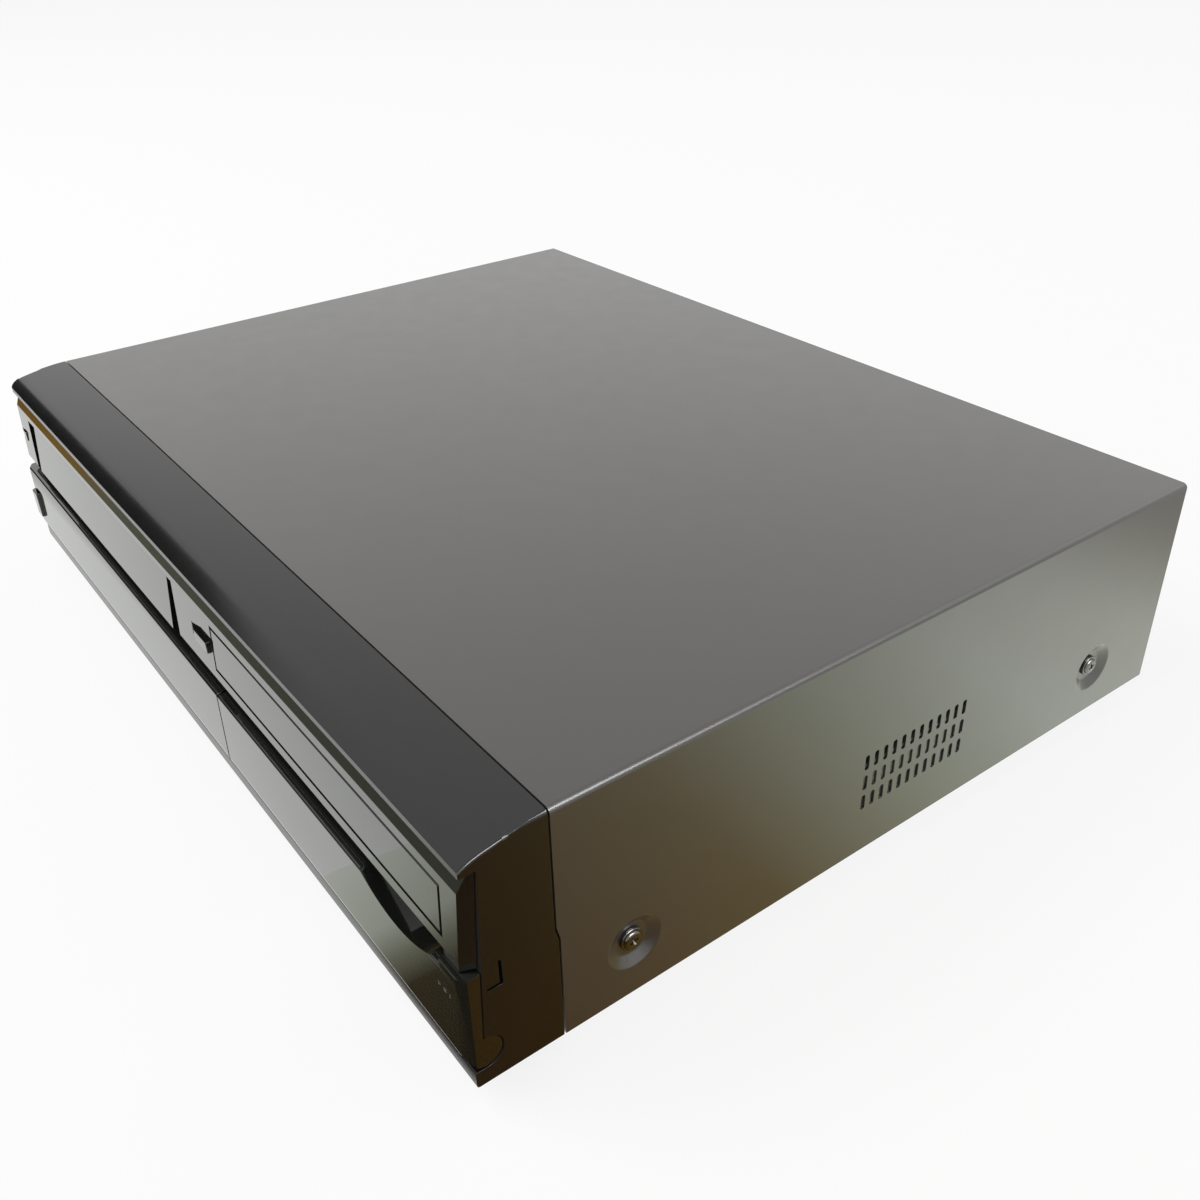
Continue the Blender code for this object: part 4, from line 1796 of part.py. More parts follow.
def main():
    """Build the player."""
    clear_scene()
    frame = bpy.data.objects.new("body_frame", None)
    frame.location = (0, SEAM_Y, FOOT_HEIGHT)
    bpy.context.scene.collection.objects.link(frame)
    make_top_cover()
    make_cover_screws()
    make_base_pan()
    make_feet()
    make_rear_panel()
    make_front_fascia()
    make_upper_panel()
    make_display_window()
    make_lower_door()
    make_jack_panel()
    make_front_jacks()
    make_buttons()
    make_flap()
    make_front_boards()
    make_tray()
    make_pinion()
    make_drive_case()
    make_drive_cover()
    make_traverse()
    make_deck()
    make_carrier()
    make_reels()
    make_drum()
    make_capstan()
    make_loading_motor()
    make_rear_boards()
    make_hard_disk()
    make_fan()
    make_rear_sockets()
    bpy.context.view_layer.update()


main()
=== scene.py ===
import math

import bpy
from mathutils import Matrix, Vector


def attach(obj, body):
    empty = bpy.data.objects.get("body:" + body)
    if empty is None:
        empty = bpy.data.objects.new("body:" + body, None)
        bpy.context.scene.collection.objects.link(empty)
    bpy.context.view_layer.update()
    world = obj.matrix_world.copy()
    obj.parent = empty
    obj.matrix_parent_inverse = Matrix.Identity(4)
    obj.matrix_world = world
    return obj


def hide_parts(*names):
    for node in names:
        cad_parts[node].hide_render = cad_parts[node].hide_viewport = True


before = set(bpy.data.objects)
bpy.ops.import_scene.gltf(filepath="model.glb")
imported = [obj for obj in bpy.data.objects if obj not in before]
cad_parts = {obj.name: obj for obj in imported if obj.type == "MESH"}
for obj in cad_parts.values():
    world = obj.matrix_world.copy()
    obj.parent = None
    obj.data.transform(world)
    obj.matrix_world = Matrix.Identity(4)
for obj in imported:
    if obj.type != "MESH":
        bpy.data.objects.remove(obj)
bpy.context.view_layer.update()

# The body's frame: x from mid width, y from the seam behind the moulded front, z from the cover's foot
SEAM_Y = -0.137815
FOOT_HEIGHT = 0.009
HALF_WIDTH = 0.215
COVER_HEIGHT = 0.090
COVER_LENGTH = 0.300
MM = 0.001
SHARP_ANGLE = 35
PLACE = Matrix.Translation((0, SEAM_Y, FOOT_HEIGHT))


# Modelling by hand
def deselect():
    """Leave edit mode and select nothing."""
    if bpy.context.object and bpy.context.object.mode != "OBJECT":
        bpy.ops.object.mode_set(mode="OBJECT")
    bpy.ops.object.select_all(action="DESELECT")


def choose(obj):
    """Select this object alone."""
    deselect()
    obj.select_set(True)
    bpy.context.view_layer.objects.active = obj


def settle(obj):
    """Put the object's place into its mesh."""
    choose(obj)
    bpy.ops.object.transform_apply(location=True, rotation=True, scale=True)
    return obj


def pick(obj, faces=None, edges=None, verts=None):
    """Select the faces, edges or corners for which the given test is true, and go into edit mode."""
    choose(obj)
    mesh = obj.data
    bpy.ops.object.mode_set(mode="EDIT")
    bpy.ops.mesh.select_mode(type="FACE" if faces else "EDGE" if edges else "VERT")
    bpy.ops.mesh.select_all(action="DESELECT")
    bpy.ops.object.mode_set(mode="OBJECT")
    if faces:
        for face in mesh.polygons:
            face.select = bool(faces(face.center, face.normal))
    elif edges:
        for edge in mesh.edges:
            ends = [mesh.vertices[index].co for index in edge.vertices]
            edge.select = bool(edges(*ends))
    elif verts:
        for corner in mesh.vertices:
            corner.select = bool(verts(corner.co))
    bpy.ops.object.mode_set(mode="EDIT")


def done():
    """Leave edit mode."""
    bpy.ops.object.mode_set(mode="OBJECT")


def apply_step(obj, kind, **settings):
    """Add one modifier, set it and apply it."""
    choose(obj)
    step = obj.modifiers.new(kind.title(), kind)
    for key, value in settings.items():
        setattr(step, key, value)
    bpy.ops.object.modifier_apply(modifier=step.name)
    return obj


def soften(obj, width=0.25 * MM, segments=2, smooth=SHARP_ANGLE):
    """Round the sharp edges a little and shade the curves smooth."""
    if width:
        apply_step(obj, "BEVEL", width=width, segments=segments, limit_method="ANGLE",
                   angle_limit=math.radians(SHARP_ANGLE), use_clamp_overlap=True, harden_normals=False)
    choose(obj)
    bpy.ops.object.shade_smooth_by_angle(angle=math.radians(smooth))
    apply_step(obj, "WEIGHTED_NORMAL", keep_sharp=True, weight=90)
    return obj


def cut(obj, *tools, operation="DIFFERENCE"):
    """Apply a Boolean with each tool, and delete the tool."""
    for tool in tools:
        apply_step(obj, "BOOLEAN", operation=operation, solver="EXACT", object=tool)
        bpy.data.objects.remove(tool)
    return obj


def join(name, objs):
    """Join the objects into one, under this name."""
    deselect()
    for obj in objs:
        obj.select_set(True)
    bpy.context.view_layer.objects.active = objs[0]
    bpy.ops.object.join()
    whole = bpy.context.object
    whole.name = name
    return whole


def outline_of(points, steps=6):
    """Return the outline through points (a, b, radius), with an arc where the radius is not zero."""
    rounded = []
    for index, (a, b, radius) in enumerate(points):
        if not radius:
            rounded.append((a, b))
            continue
        here = Vector((a, b))
        before = (Vector(points[index - 1][:2]) - here).normalized()
        after = (Vector(points[(index + 1) % len(points)][:2]) - here).normalized()
        half = before.angle(after) / 2
        centre = here + (before + after).normalized() * (radius / math.sin(half))
        first = here + before * (radius / math.tan(half)) - centre
        last = here + after * (radius / math.tan(half)) - centre
        start = math.atan2(first.y, first.x)
        sweep = (math.atan2(last.y, last.x) - start + math.pi) % (2 * math.pi) - math.pi
        for step in range(steps + 1):
            turn = start + sweep * step / steps
            rounded.append((centre.x + radius * math.cos(turn), centre.y + radius * math.sin(turn)))
    return rounded


def in_mm(points):
    """Return the points in metres."""
    return [tuple(value * MM for value in point) for point in points]


def extruded(name, outline, axis, start, stop):
    """Fill a circle, draw its corners out to the outline, and extrude it along the axis."""
    deselect()
    bpy.ops.mesh.primitive_circle_add(vertices=len(outline), radius=0.01, fill_type="NGON")
    made = bpy.context.object
    made.name = name
    lift = {"X": lambda a, b: (start, a, b), "Y": lambda a, b: (a, start, b), "Z": lambda a, b: (a, b, start)}[axis]
    for corner, (a, b) in zip(made.data.vertices, outline):
        corner.co = lift(a, b)
    push = {"X": (stop - start, 0, 0), "Y": (0, stop - start, 0), "Z": (0, 0, stop - start)}[axis]
    bpy.ops.object.mode_set(mode="EDIT")
    bpy.ops.mesh.select_all(action="SELECT")
    bpy.ops.mesh.extrude_region_move(TRANSFORM_OT_translate={"value": push})
    bpy.ops.mesh.select_all(action="SELECT")
    bpy.ops.mesh.normals_make_consistent(inside=False)
    done()
    return made


def spun(name, profile, axis, centre, sides=48):
    """Spin a profile of (radius, along) about the axis through centre; it closes on the axis."""
    deselect()
    bpy.ops.mesh.primitive_circle_add(vertices=len(profile), radius=0.01, fill_type="NOTHING")
    made = bpy.context.object
    made.name = name
    for corner, (radius, along) in zip(made.data.vertices, profile):
        corner.co = (radius, 0, along)
    bpy.ops.object.mode_set(mode="EDIT")
    bpy.ops.mesh.select_all(action="SELECT")
    bpy.ops.mesh.spin(steps=sides, angle=2 * math.pi, center=(0, 0, 0), axis=(0, 0, 1), use_auto_merge=True)
    bpy.ops.mesh.select_all(action="SELECT")
    bpy.ops.mesh.remove_doubles(threshold=1e-6)
    bpy.ops.mesh.normals_make_consistent(inside=False)
    done()
    turns = {"X": Matrix.Rotation(math.pi / 2, 4, "Y"), "Y": Matrix.Rotation(-math.pi / 2, 4, "X"),
             "Z": Matrix.Identity(4)}
    made.matrix_world = Matrix.Translation(centre) @ turns[axis]
    return settle(made)


def block(name, low, high):
    """Add a cube between two corners."""
    deselect()
    middle = [(a + b) / 2 for a, b in zip(low, high)]
    size = [b - a for a, b in zip(low, high)]
    bpy.ops.mesh.primitive_cube_add(size=1, location=middle, scale=size)
    made = bpy.context.object
    made.name = name
    return settle(made)


def stand(obj):
    """Move a finished piece from the body's frame to the world."""
    obj.matrix_world = PLACE @ obj.matrix_world
    return settle(obj)


# Finishes
GRAIN_DEPTH = 0.05 * MM


def finish(name, colour, rough, metal=0.0, tint=0.04, tint_scale=18.0, grain=0.0, grain_scale=2500.0,
           scuff=0.05, coat=0.0, coat_rough=0.03, specular=0.5, gloss_tint=(1, 1, 1)):
    """Make a procedural material: a slow change of shade, scuffed gloss and a fine grain."""
    made = bpy.data.materials.new(name)
    made.use_nodes = True
    tree = made.node_tree
    shader = tree.nodes["Principled BSDF"]
    shader.inputs["Metallic"].default_value = metal
    shader.inputs["Specular IOR Level"].default_value = specular
    shader.inputs["Specular Tint"].default_value = (*gloss_tint, 1)
    shader.inputs["Coat Tint"].default_value = (*gloss_tint, 1)
    shader.inputs["Coat Weight"].default_value = coat
    shader.inputs["Coat Roughness"].default_value = coat_rough
    place = tree.nodes.new("ShaderNodeTexCoord")
    shade = noise(tree, place, tint_scale, 3.0)
    mix = tree.nodes.new("ShaderNodeMix")
    mix.data_type = "RGBA"
    mix.inputs["A"].default_value = (*[max(0.0, c * (1 - tint)) for c in colour], 1)
    mix.inputs["B"].default_value = (*[min(1.0, c * (1 + tint)) for c in colour], 1)
    tree.links.new(shade.outputs["Fac"], mix.inputs["Factor"])
    tree.links.new(mix.outputs["Result"], shader.inputs["Base Color"])
    gloss = noise(tree, place, tint_scale * 4, 5.0)
    spread = tree.nodes.new("ShaderNodeMapRange")
    spread.inputs["From Min"].default_value = 0.3
    spread.inputs["From Max"].default_value = 0.7
    spread.inputs["To Min"].default_value = max(0.0, rough - scuff / 2)
    spread.inputs["To Max"].default_value = rough + scuff / 2
    tree.links.new(gloss.outputs["Fac"], spread.inputs["Value"])
    tree.links.new(spread.outputs["Result"], shader.inputs["Roughness"])
    if grain:
        fine = noise(tree, place, grain_scale, 2.0)
        bump = tree.nodes.new("ShaderNodeBump")
        bump.inputs["Strength"].default_value = grain
        bump.inputs["Distance"].default_value = GRAIN_DEPTH
        tree.links.new(fine.outputs["Fac"], bump.inputs["Height"])
        tree.links.new(bump.outputs["Normal"], shader.inputs["Normal"])
    return made


def noise(tree, source, scale, detail):
    """Add a noise pattern on the piece's own coordinates."""
    made = tree.nodes.new("ShaderNodeTexNoise")
    made.inputs["Scale"].default_value = scale
    made.inputs["Detail"].default_value = detail
    tree.links.new(source.outputs["Object"], made.inputs["Vector"])
    return made


FINISHES = {
    "cover_paint": finish("satin_charcoal_paint", (0.046, 0.042, 0.038), 0.38, grain=0.5, grain_scale=1800.0,
                          scuff=0.04, coat=0.75, coat_rough=0.26),
    "zinc_sheet": finish("zinc_plated_sheet", (0.58, 0.59, 0.58), 0.36, metal=0.95, tint=0.1, tint_scale=60.0,
                         grain=0.15, scuff=0.12),
    "dark_front": finish("satin_black_moulding", (0.010, 0.0095, 0.009), 0.19, grain=0.08, grain_scale=2200.0,
                         scuff=0.03),
    "gloss_front": finish("gloss_black_moulding", (0.010, 0.0105, 0.009), 0.07, coat=0.5, scuff=0.02,
                          specular=0.55, gloss_tint=(0.97, 1.0, 0.93)),
    "black_moulding": finish("matt_black_moulding", (0.016, 0.016, 0.017), 0.48, grain=0.5,
                             grain_scale=1500.0, specular=0.35),
    "foot_rubber": finish("matt_rubber", (0.022, 0.022, 0.022), 0.8, grain=0.6, grain_scale=900.0),
    "board": finish("green_laminate", (0.02, 0.11, 0.045), 0.38, tint=0.25, tint_scale=220.0, grain=0.2),
    "turned_steel": finish("turned_steel", (0.62, 0.62, 0.60), 0.24, metal=1.0, tint=0.05, scuff=0.08),
    "screw_steel": finish("dark_screw_steel", (0.14, 0.135, 0.13), 0.26, metal=1.0, tint=0.1, scuff=0.1),
    "cast_alloy": finish("cast_alloy", (0.55, 0.56, 0.57), 0.42, metal=0.9, grain=0.5, grain_scale=800.0),
    "pale_moulding": finish("pale_moulding", (0.74, 0.73, 0.70), 0.42, grain=0.2),
    "jack_yellow": finish("yellow_jack_ring", (0.78, 0.52, 0.02), 0.36, grain=0.15),
    "jack_white": finish("white_jack_ring", (0.78, 0.77, 0.74), 0.36, grain=0.15),
    "jack_red": finish("red_jack_ring", (0.55, 0.02, 0.02), 0.36, grain=0.15),
    "jack_green": finish("green_jack_ring", (0.03, 0.30, 0.06), 0.36, grain=0.15),
    "jack_blue": finish("blue_jack_ring", (0.03, 0.08, 0.42), 0.36, grain=0.15),
    "contact_gold": finish("gold_contact", (0.75, 0.52, 0.20), 0.25, metal=1.0, scuff=0.08),
    "pad_print": finish("pale_pad_print", (0.11, 0.11, 0.10), 0.5, tint=0.08, tint_scale=400.0),
}

NODE_FINISH = {
    "cover_paint": ["top_cover", "rear_panel"],
    "zinc_sheet": ["base_pan", "drive_cover", "traverse", "deck_chassis", "cassette_carrier",
                   "disk_bracket", "antenna_block", "lan_socket", "hdmi_socket", "loading_motor",
                   "cover_screw_1", "cover_screw_2", "cover_screw_3", "cover_screw_4"],
    "dark_front": ["front_fascia", "pickup_sled", "supply_reel", "takeup_reel", "fan_rotor",
                   "key_1", "key_2", "key_3", "key_4"],
    "gloss_front": ["upper_front_panel", "display_window", "lower_door", "tray_bezel", "cassette_flap",
                    "open_close_button", "eject_button", "power_button"],
    "black_moulding": ["front_jack_panel", "front_jacks", "display_module", "disc_tray", "drive_case",
                       "turntable", "fan_frame", "rca_block", "ac_inlet"],
    "foot_rubber": ["foot_1", "foot_2", "foot_3", "foot_4", "pinch_roller"],
    "board": ["front_board", "key_board", "main_board", "power_board"],
    "turned_steel": ["head_drum", "capstan", "drum_base"],
    "cast_alloy": ["hard_disk"],
    "pale_moulding": ["tray_pinion", "clamp_puck"],
}


def dress_nodes():
    """Give every CAD node that stays its finish."""
    for slot, names in NODE_FINISH.items():
        for name in names:
            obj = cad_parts[name]
            obj.data.materials.clear()
            obj.data.materials.append(FINISHES[slot])


def hand_over(obj, slot, body, *nodes):
    """Give a finished piece its material and its body, and let it stand for the nodes."""
    stand(obj)
    obj.data.materials.clear()
    obj.data.materials.append(FINISHES[slot])
    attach(obj, body)
    if nodes:
        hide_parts(*nodes)
    return obj


def smooth_copy(name, node, width):
    """Copy a CAD node, merge its loose triangles, and round its edges."""
    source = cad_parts[node]
    copy = bpy.data.objects.new(name, source.data.copy())
    bpy.context.scene.collection.objects.link(copy)
    copy.data.materials.clear()
    copy.matrix_world = source.matrix_world.copy()
    settle(copy)
    bpy.ops.object.mode_set(mode="EDIT")
    bpy.ops.mesh.select_all(action="SELECT")
    bpy.ops.mesh.remove_doubles(threshold=2e-6)
    bpy.ops.mesh.dissolve_limited(angle_limit=math.radians(1.0))
    done()
    copy.matrix_world = PLACE.inverted()
    settle(copy)
    return soften(copy, width)


# Stage, lamps and camera
def seen_directly(tree):
    """Return a socket that is 1 for rays that show the background, to the eye or in gloss and glass."""
    path = tree.nodes.new("ShaderNodeLightPath")
    total = path.outputs["Is Camera Ray"]
    for name in ("Is Glossy Ray", "Is Transmission Ray"):
        larger = tree.nodes.new("ShaderNodeMath")
        larger.operation = "MAXIMUM"
        tree.links.new(total, larger.inputs[0])
        tree.links.new(path.outputs[name], larger.inputs[1])
        total = larger.outputs["Value"]
    return total


def between(tree, source, low, high):
    """Return a socket that runs from low to high as the source runs from 0 to 1."""
    scale = tree.nodes.new("ShaderNodeMapRange")
    scale.inputs["To Min"].default_value = low
    scale.inputs["To Max"].default_value = high
    tree.links.new(source, scale.inputs["Value"])
    return scale.outputs["Result"]


# Lamps: name, place, size, power
LAMPS = [("key", (-1.1, -1.5, 2.1), 2.2, 50.0), ("fill", (0.6, 2.4, 1.9), 2.0, 8.0),
         ("edge", (1.75, 0.80, 1.55), 0.5, 12.0)]
ROOM_LEVEL = 0.42
FLOOR_SHARE = 0.85
FLOOR_SIZE = 14

LENS_LENGTH = 36.565
CAMERA_PLACE = (0.421194, SEAM_Y - 0.130667, FOOT_HEIGHT + 0.306138)
CAMERA_TURN = (58.094849, 1.424426, 53.247684)

# Cards that only gloss shows, glowing in painted colours so that what the object reflects from them is a painted
# reflection: name, corners, axis of the colours, strength, colours at places along the axis
CARDS = [
    # Painted reflection for the right side: near black and brown towards the front, pale in the middle, grey behind
    ("side_card", [(0.216, -0.60, 0.0005), (0.70, -0.60, 0.0005), (0.70, 0.40, 0.0005), (0.216, 0.40, 0.0005)],
     "Y", 2.0,
     [(-0.60, (0.02, 0.008, 0.001)), (-0.21, (0.05, 0.02, 0.001)), (-0.13, (0.13, 0.065, 0.004)),
      (-0.04, (0.24, 0.17, 0.05)), (0.04, (0.50, 0.53, 0.40)), (0.12, (0.72, 0.76, 0.68)),
      (0.21, (0.70, 0.72, 0.64)), (0.31, (0.30, 0.30, 0.26)), (0.40, (0.24, 0.24, 0.20))]),
    # Painted reflection for the front of the right end: pale away from the object, near black close to it
    ("corner_card", [(0.10, -0.27, 0.001), (0.216, -0.27, 0.001), (0.216, -0.172, 0.001), (0.10, -0.172, 0.001)],
     "X", 1.0,
     [(0.10, (0.86, 0.88, 0.82)), (0.135, (0.68, 0.70, 0.62)), (0.150, (0.30, 0.30, 0.23)),
      (0.163, (0.07, 0.05, 0.025)), (0.216, (0.03, 0.018, 0.006))]),
    # Painted reflection for the front: brown far to the left, grey, darker towards the right corner
    ("front_card", [(-1.60, -1.60, 0.0005), (0.216, -1.60, 0.0005), (0.216, -0.27, 0.0005), (-1.60, -0.27, 0.0005)],
     "X", 1.0,
     [(-1.60, (0.40, 0.20, 0.03)), (-0.56, (0.42, 0.26, 0.07)), (-0.47, (0.26, 0.26, 0.20)),
      (0.05, (0.20, 0.20, 0.16)), (0.216, (0.10, 0.08, 0.045))]),
    # Painted reflection for the lip's top: brown at the floor and near black above it, for the dark band on the lip
    ("left_card", [(-0.65, -1.60, 0.0005), (-0.65, -0.185, 0.0005), (-0.65, -0.185, 0.56), (-0.65, -1.60, 0.56)],
     "Z", 1.0,
     [(0.0, (0.40, 0.20, 0.03)), (0.07, (0.12, 0.09, 0.04)), (0.14, (0.006, 0.006, 0.008)),
      (0.56, (0.004, 0.004, 0.006))]),
    # A painted highlight: a white card glowing at strength 14, for the bright line along the lip's right end edge
    ("window_card", [(1.75, -0.60, 1.05), (1.75, 0.70, 1.05), (1.25, 0.70, 1.85), (1.25, -0.60, 1.85)], "Z", 14.0,
     [(1.05, (1.0, 1.0, 1.0)), (1.85, (1.0, 1.0, 1.0))]),
]


def make_card(name, places, axis, level, stops):
    """Lay a card beside the object that shows in gloss alone, as a studio's flags do; it glows in its colours, so
    the object shows a painted reflection of it.
    """
    deselect()
    bpy.ops.mesh.primitive_plane_add(size=1)
    card = bpy.context.object
    card.name = name
    for index, place in zip((0, 1, 3, 2), places):
        card.data.vertices[index].co = place
    painted_reflection = bpy.data.materials.new(name + "_paper")
    painted_reflection.use_nodes = True
    tree = painted_reflection.node_tree
    place = tree.nodes.new("ShaderNodeTexCoord")
    split = tree.nodes.new("ShaderNodeSeparateXYZ")
    tree.links.new(place.outputs["Object"], split.inputs["Vector"])
    first, last = stops[0][0], stops[-1][0]
    along = tree.nodes.new("ShaderNodeMapRange")
    along.inputs["From Min"].default_value = first
    along.inputs["From Max"].default_value = last
    tree.links.new(split.outputs[axis], along.inputs["Value"])
    ramp = tree.nodes.new("ShaderNodeValToRGB")
    marks = ramp.color_ramp.elements
    while len(marks) < len(stops):
        marks.new(0.5)
    for mark, (at, colour) in zip(marks, stops):
        mark.position = (at - first) / (last - first)
        mark.color = (*colour, 1)
    tree.links.new(along.outputs["Result"], ramp.inputs["Fac"])
    glow = tree.nodes.new("ShaderNodeEmission")
    glow.inputs["Strength"].default_value = level
    tree.links.new(ramp.outputs["Color"], glow.inputs["Color"])
    tree.links.new(glow.outputs["Emission"], tree.nodes["Material Output"].inputs["Surface"])
    card.data.materials.append(painted_reflection)
    card.visible_camera = False
    card.visible_diffuse = False
    card.visible_shadow = False


def make_floor():
    """Lay the pale floor."""
    deselect()
    bpy.ops.mesh.primitive_plane_add(size=FLOOR_SIZE, location=(0, 0, 0))
    floor = bpy.context.object
    floor.name = "floor"
    pale = bpy.data.materials.new("pale_floor")
    pale.use_nodes = True
    tree = pale.node_tree
    shader = tree.nodes["Principled BSDF"]
    shader.inputs["Base Color"].default_value = (0.97, 0.97, 0.97, 1)
    shader.inputs["Roughness"].default_value = 0.9
    glow = tree.nodes.new("ShaderNodeEmission")
    mix = tree.nodes.new("ShaderNodeMixShader")
    tree.links.new(between(tree, seen_directly(tree), 0.0, FLOOR_SHARE), mix.inputs["Fac"])
    tree.links.new(shader.outputs["BSDF"], mix.inputs[1])
    tree.links.new(glow.outputs["Emission"], mix.inputs[2])
    tree.links.new(mix.outputs["Shader"], tree.nodes["Material Output"].inputs["Surface"])
    floor.data.materials.append(pale)


def make_lights():
    """Light the room softly, lay the cards and hang the lamps."""
    world = bpy.data.worlds.new("soft_room")
    bpy.context.scene.world = world
    world.use_nodes = True
    tree = world.node_tree
    back = tree.nodes["Background"]
    back.inputs["Color"].default_value = (1, 1, 1, 1)
    tree.links.new(between(tree, seen_directly(tree), ROOM_LEVEL, 1.0), back.inputs["Strength"])

    for card in CARDS:
        make_card(*card)
    for name, place, size, power in LAMPS:
        lamp = bpy.data.lights.new(name + "_lamp", "AREA")
        lamp.energy = power
        lamp.size = size
        holder = bpy.data.objects.new(name + "_lamp", lamp)
        holder.location = place
        holder.rotation_euler = (-Vector(place)).to_track_quat("-Z", "Y").to_euler()
        holder.visible_glossy = name != "key"
        holder.visible_diffuse = name != "edge"
        bpy.context.scene.collection.objects.link(holder)


def make_camera():
    """Set the camera where the photograph was taken."""
    lens = bpy.data.cameras.new("photo_camera")
    lens.sensor_width = 36.0
    lens.lens = LENS_LENGTH
    lens.clip_start = 0.01
    camera = bpy.data.objects.new("photo_camera", lens)
    camera.location = CAMERA_PLACE
    camera.rotation_euler = [math.radians(turn) for turn in CAMERA_TURN]
    bpy.context.scene.collection.objects.link(camera)
    bpy.context.scene.camera = camera
    bpy.context.scene.view_settings.view_transform = "Standard"


def make_stage():
    """Make the floor, the lights and the camera."""
    make_floor()
    make_lights()
    make_camera()


# Metal cover and its screws
SHEET = 1.0 * MM
DISH_DEPTH = 2.5 * MM
SCREW_Z = 21.3 * MM
SCREW_PLACES = [(side, y) for side in (-1, 1) for y in (27.8 * MM, COVER_LENGTH - 40.1 * MM)]
DISH_RIM = [(10.5, 0.0), (10.2, 0.05), (9.9, 0.2), (9.6, 0.42), (6.9, 2.16), (6.6, 2.34), (6.2, 2.46), (5.8, 2.5)]
VENT_SIZE = (2.0 * MM, 6.2 * MM)
VENT_START = (127.6 * MM, 19.7 * MM)
VENT_PITCH = (4.55 * MM, 8.75 * MM)
VENT_COUNT = (12, 3)
JOG_HEIGHTS = (45.5 * MM, 41.0 * MM)
JOG_DEPTH = 1.1 * MM
OVER = 1.0 * MM
DISH_BACK = [(0, 0.5), (10.9, 0.5), (10.4, 1.0), (7.2, 3.2), (6.4, 3.5), (0, 3.5)]
WASHER_HEAD = [(0, 0.30), (2.3, 0.34), (2.9, 0.50), (3.3, 0.85), (3.4, 1.25), (4.05, 1.3), (4.2, 1.45),
               (4.2, 2.2), (1.5, 2.2), (1.5, 6.7), (0, 6.7)]
CROSS_ARMS = ((0.45, 1.9), (1.9, 0.45))
CROSS_TURN = 20


def make_cover():
    """Bend the cover from sheet, press its four screw dishes and punch its vents."""
    inside = HALF_WIDTH - SHEET
    path = [(-HALF_WIDTH, 0, 0), (-HALF_WIDTH, COVER_HEIGHT, 2 * MM), (HALF_WIDTH, COVER_HEIGHT, 2 * MM),
            (HALF_WIDTH, 0, 0), (inside, 0, 0), (inside, COVER_HEIGHT - SHEET, SHEET),
            (-inside, COVER_HEIGHT - SHEET, SHEET), (-inside, 0, 0)]
    cover = extruded("cover_shell", outline_of(path, 8), "Y", 0, COVER_LENGTH)
    high, low = JOG_HEIGHTS
    lower = [(-OVER, -OVER), (JOG_DEPTH, -OVER), (JOG_DEPTH, low), (0, high), (-OVER, high)]
    for side in (-1, 1):
        cut(cover, extruded("jog_tool", lower, "X", side * (inside - OVER), side * (HALF_WIDTH + OVER)))
    backs, tools = [], []
    for side, y in SCREW_PLACES:
        place = (side * HALF_WIDTH, y, SCREW_Z)
        backs.append(spun("dish_back", [(r * MM, -side * d * MM) for r, d in DISH_BACK], "X", place))
        dish = [(0, 1 * MM), (10.8 * MM, 1 * MM)] + [(r * MM, -d * MM) for r, d in DISH_RIM]
        dish += [(1.8 * MM, -DISH_DEPTH), (1.8 * MM, -5 * MM), (0, -5 * MM)]
        tools.append(spun("dish_tool", [(r, side * d) for r, d in dish], "X", place))
    wide, tall = VENT_SIZE
    for side in (-1, 1):
        for row in range(VENT_COUNT[1]):
            for column in range(VENT_COUNT[0]):
                y = VENT_START[0] + column * VENT_PITCH[0] - wide / 2
                z = VENT_START[1] + row * VENT_PITCH[1]
                slot = outline_of([(y, z, 0.7 * MM), (y + wide, z, 0.7 * MM), (y + wide, z + tall, 0.9 * MM),
                                   (y, z + tall, 0.9 * MM)], 3)
                tools.append(extruded("vent_tool", slot, "X", side * (HALF_WIDTH - 3 * MM),
                                      side * (HALF_WIDTH + 1 * MM)))
    cut(cover, join("dish_backs", backs), operation="UNION")
    cut(cover, join("cover_tools", tools))
    soften(cover, 0.0, smooth=30)
    hand_over(cover, "cover_paint", "housing", "top_cover")


def make_cover_screws():
    """Turn the four washer-head screws and press a cross recess into each."""
    for index, (side, y) in enumerate(SCREW_PLACES):
        place = (side * HALF_WIDTH, y, SCREW_Z)
        head = [(r * MM, -side * d * MM) for r, d in WASHER_HEAD]
        screw = spun("dish_screw_%d" % (index + 1), head, "X", place, 40)
        blades = []
        for size in CROSS_ARMS:
            blade = block("recess_tool", (-1.3 * MM, -size[0] * MM, -size[1] * MM),
                          (0.6 * MM, size[0] * MM, size[1] * MM))
            pick(blade, faces=lambda centre, normal: normal.x < -0.9)
            bpy.ops.transform.resize(value=(1, 0.45, 0.45))
            done()
            blade.matrix_world = (Matrix.Translation((side * (HALF_WIDTH - 0.5 * MM), y, SCREW_Z))
                                  @ Matrix.Rotation(math.radians(CROSS_TURN), 4, "X")
                                  @ Matrix.Scale(side, 4, (1, 0, 0)))
            settle(blade)
            pick(blade, faces=lambda centre, normal: True)
            bpy.ops.mesh.normals_make_consistent(inside=False)
            done()
            blades.append(blade)
        cut(screw, *blades)
        soften(screw, 0.0)
        hand_over(screw, "screw_steel", "housing", "cover_screw_%d" % (index + 1))


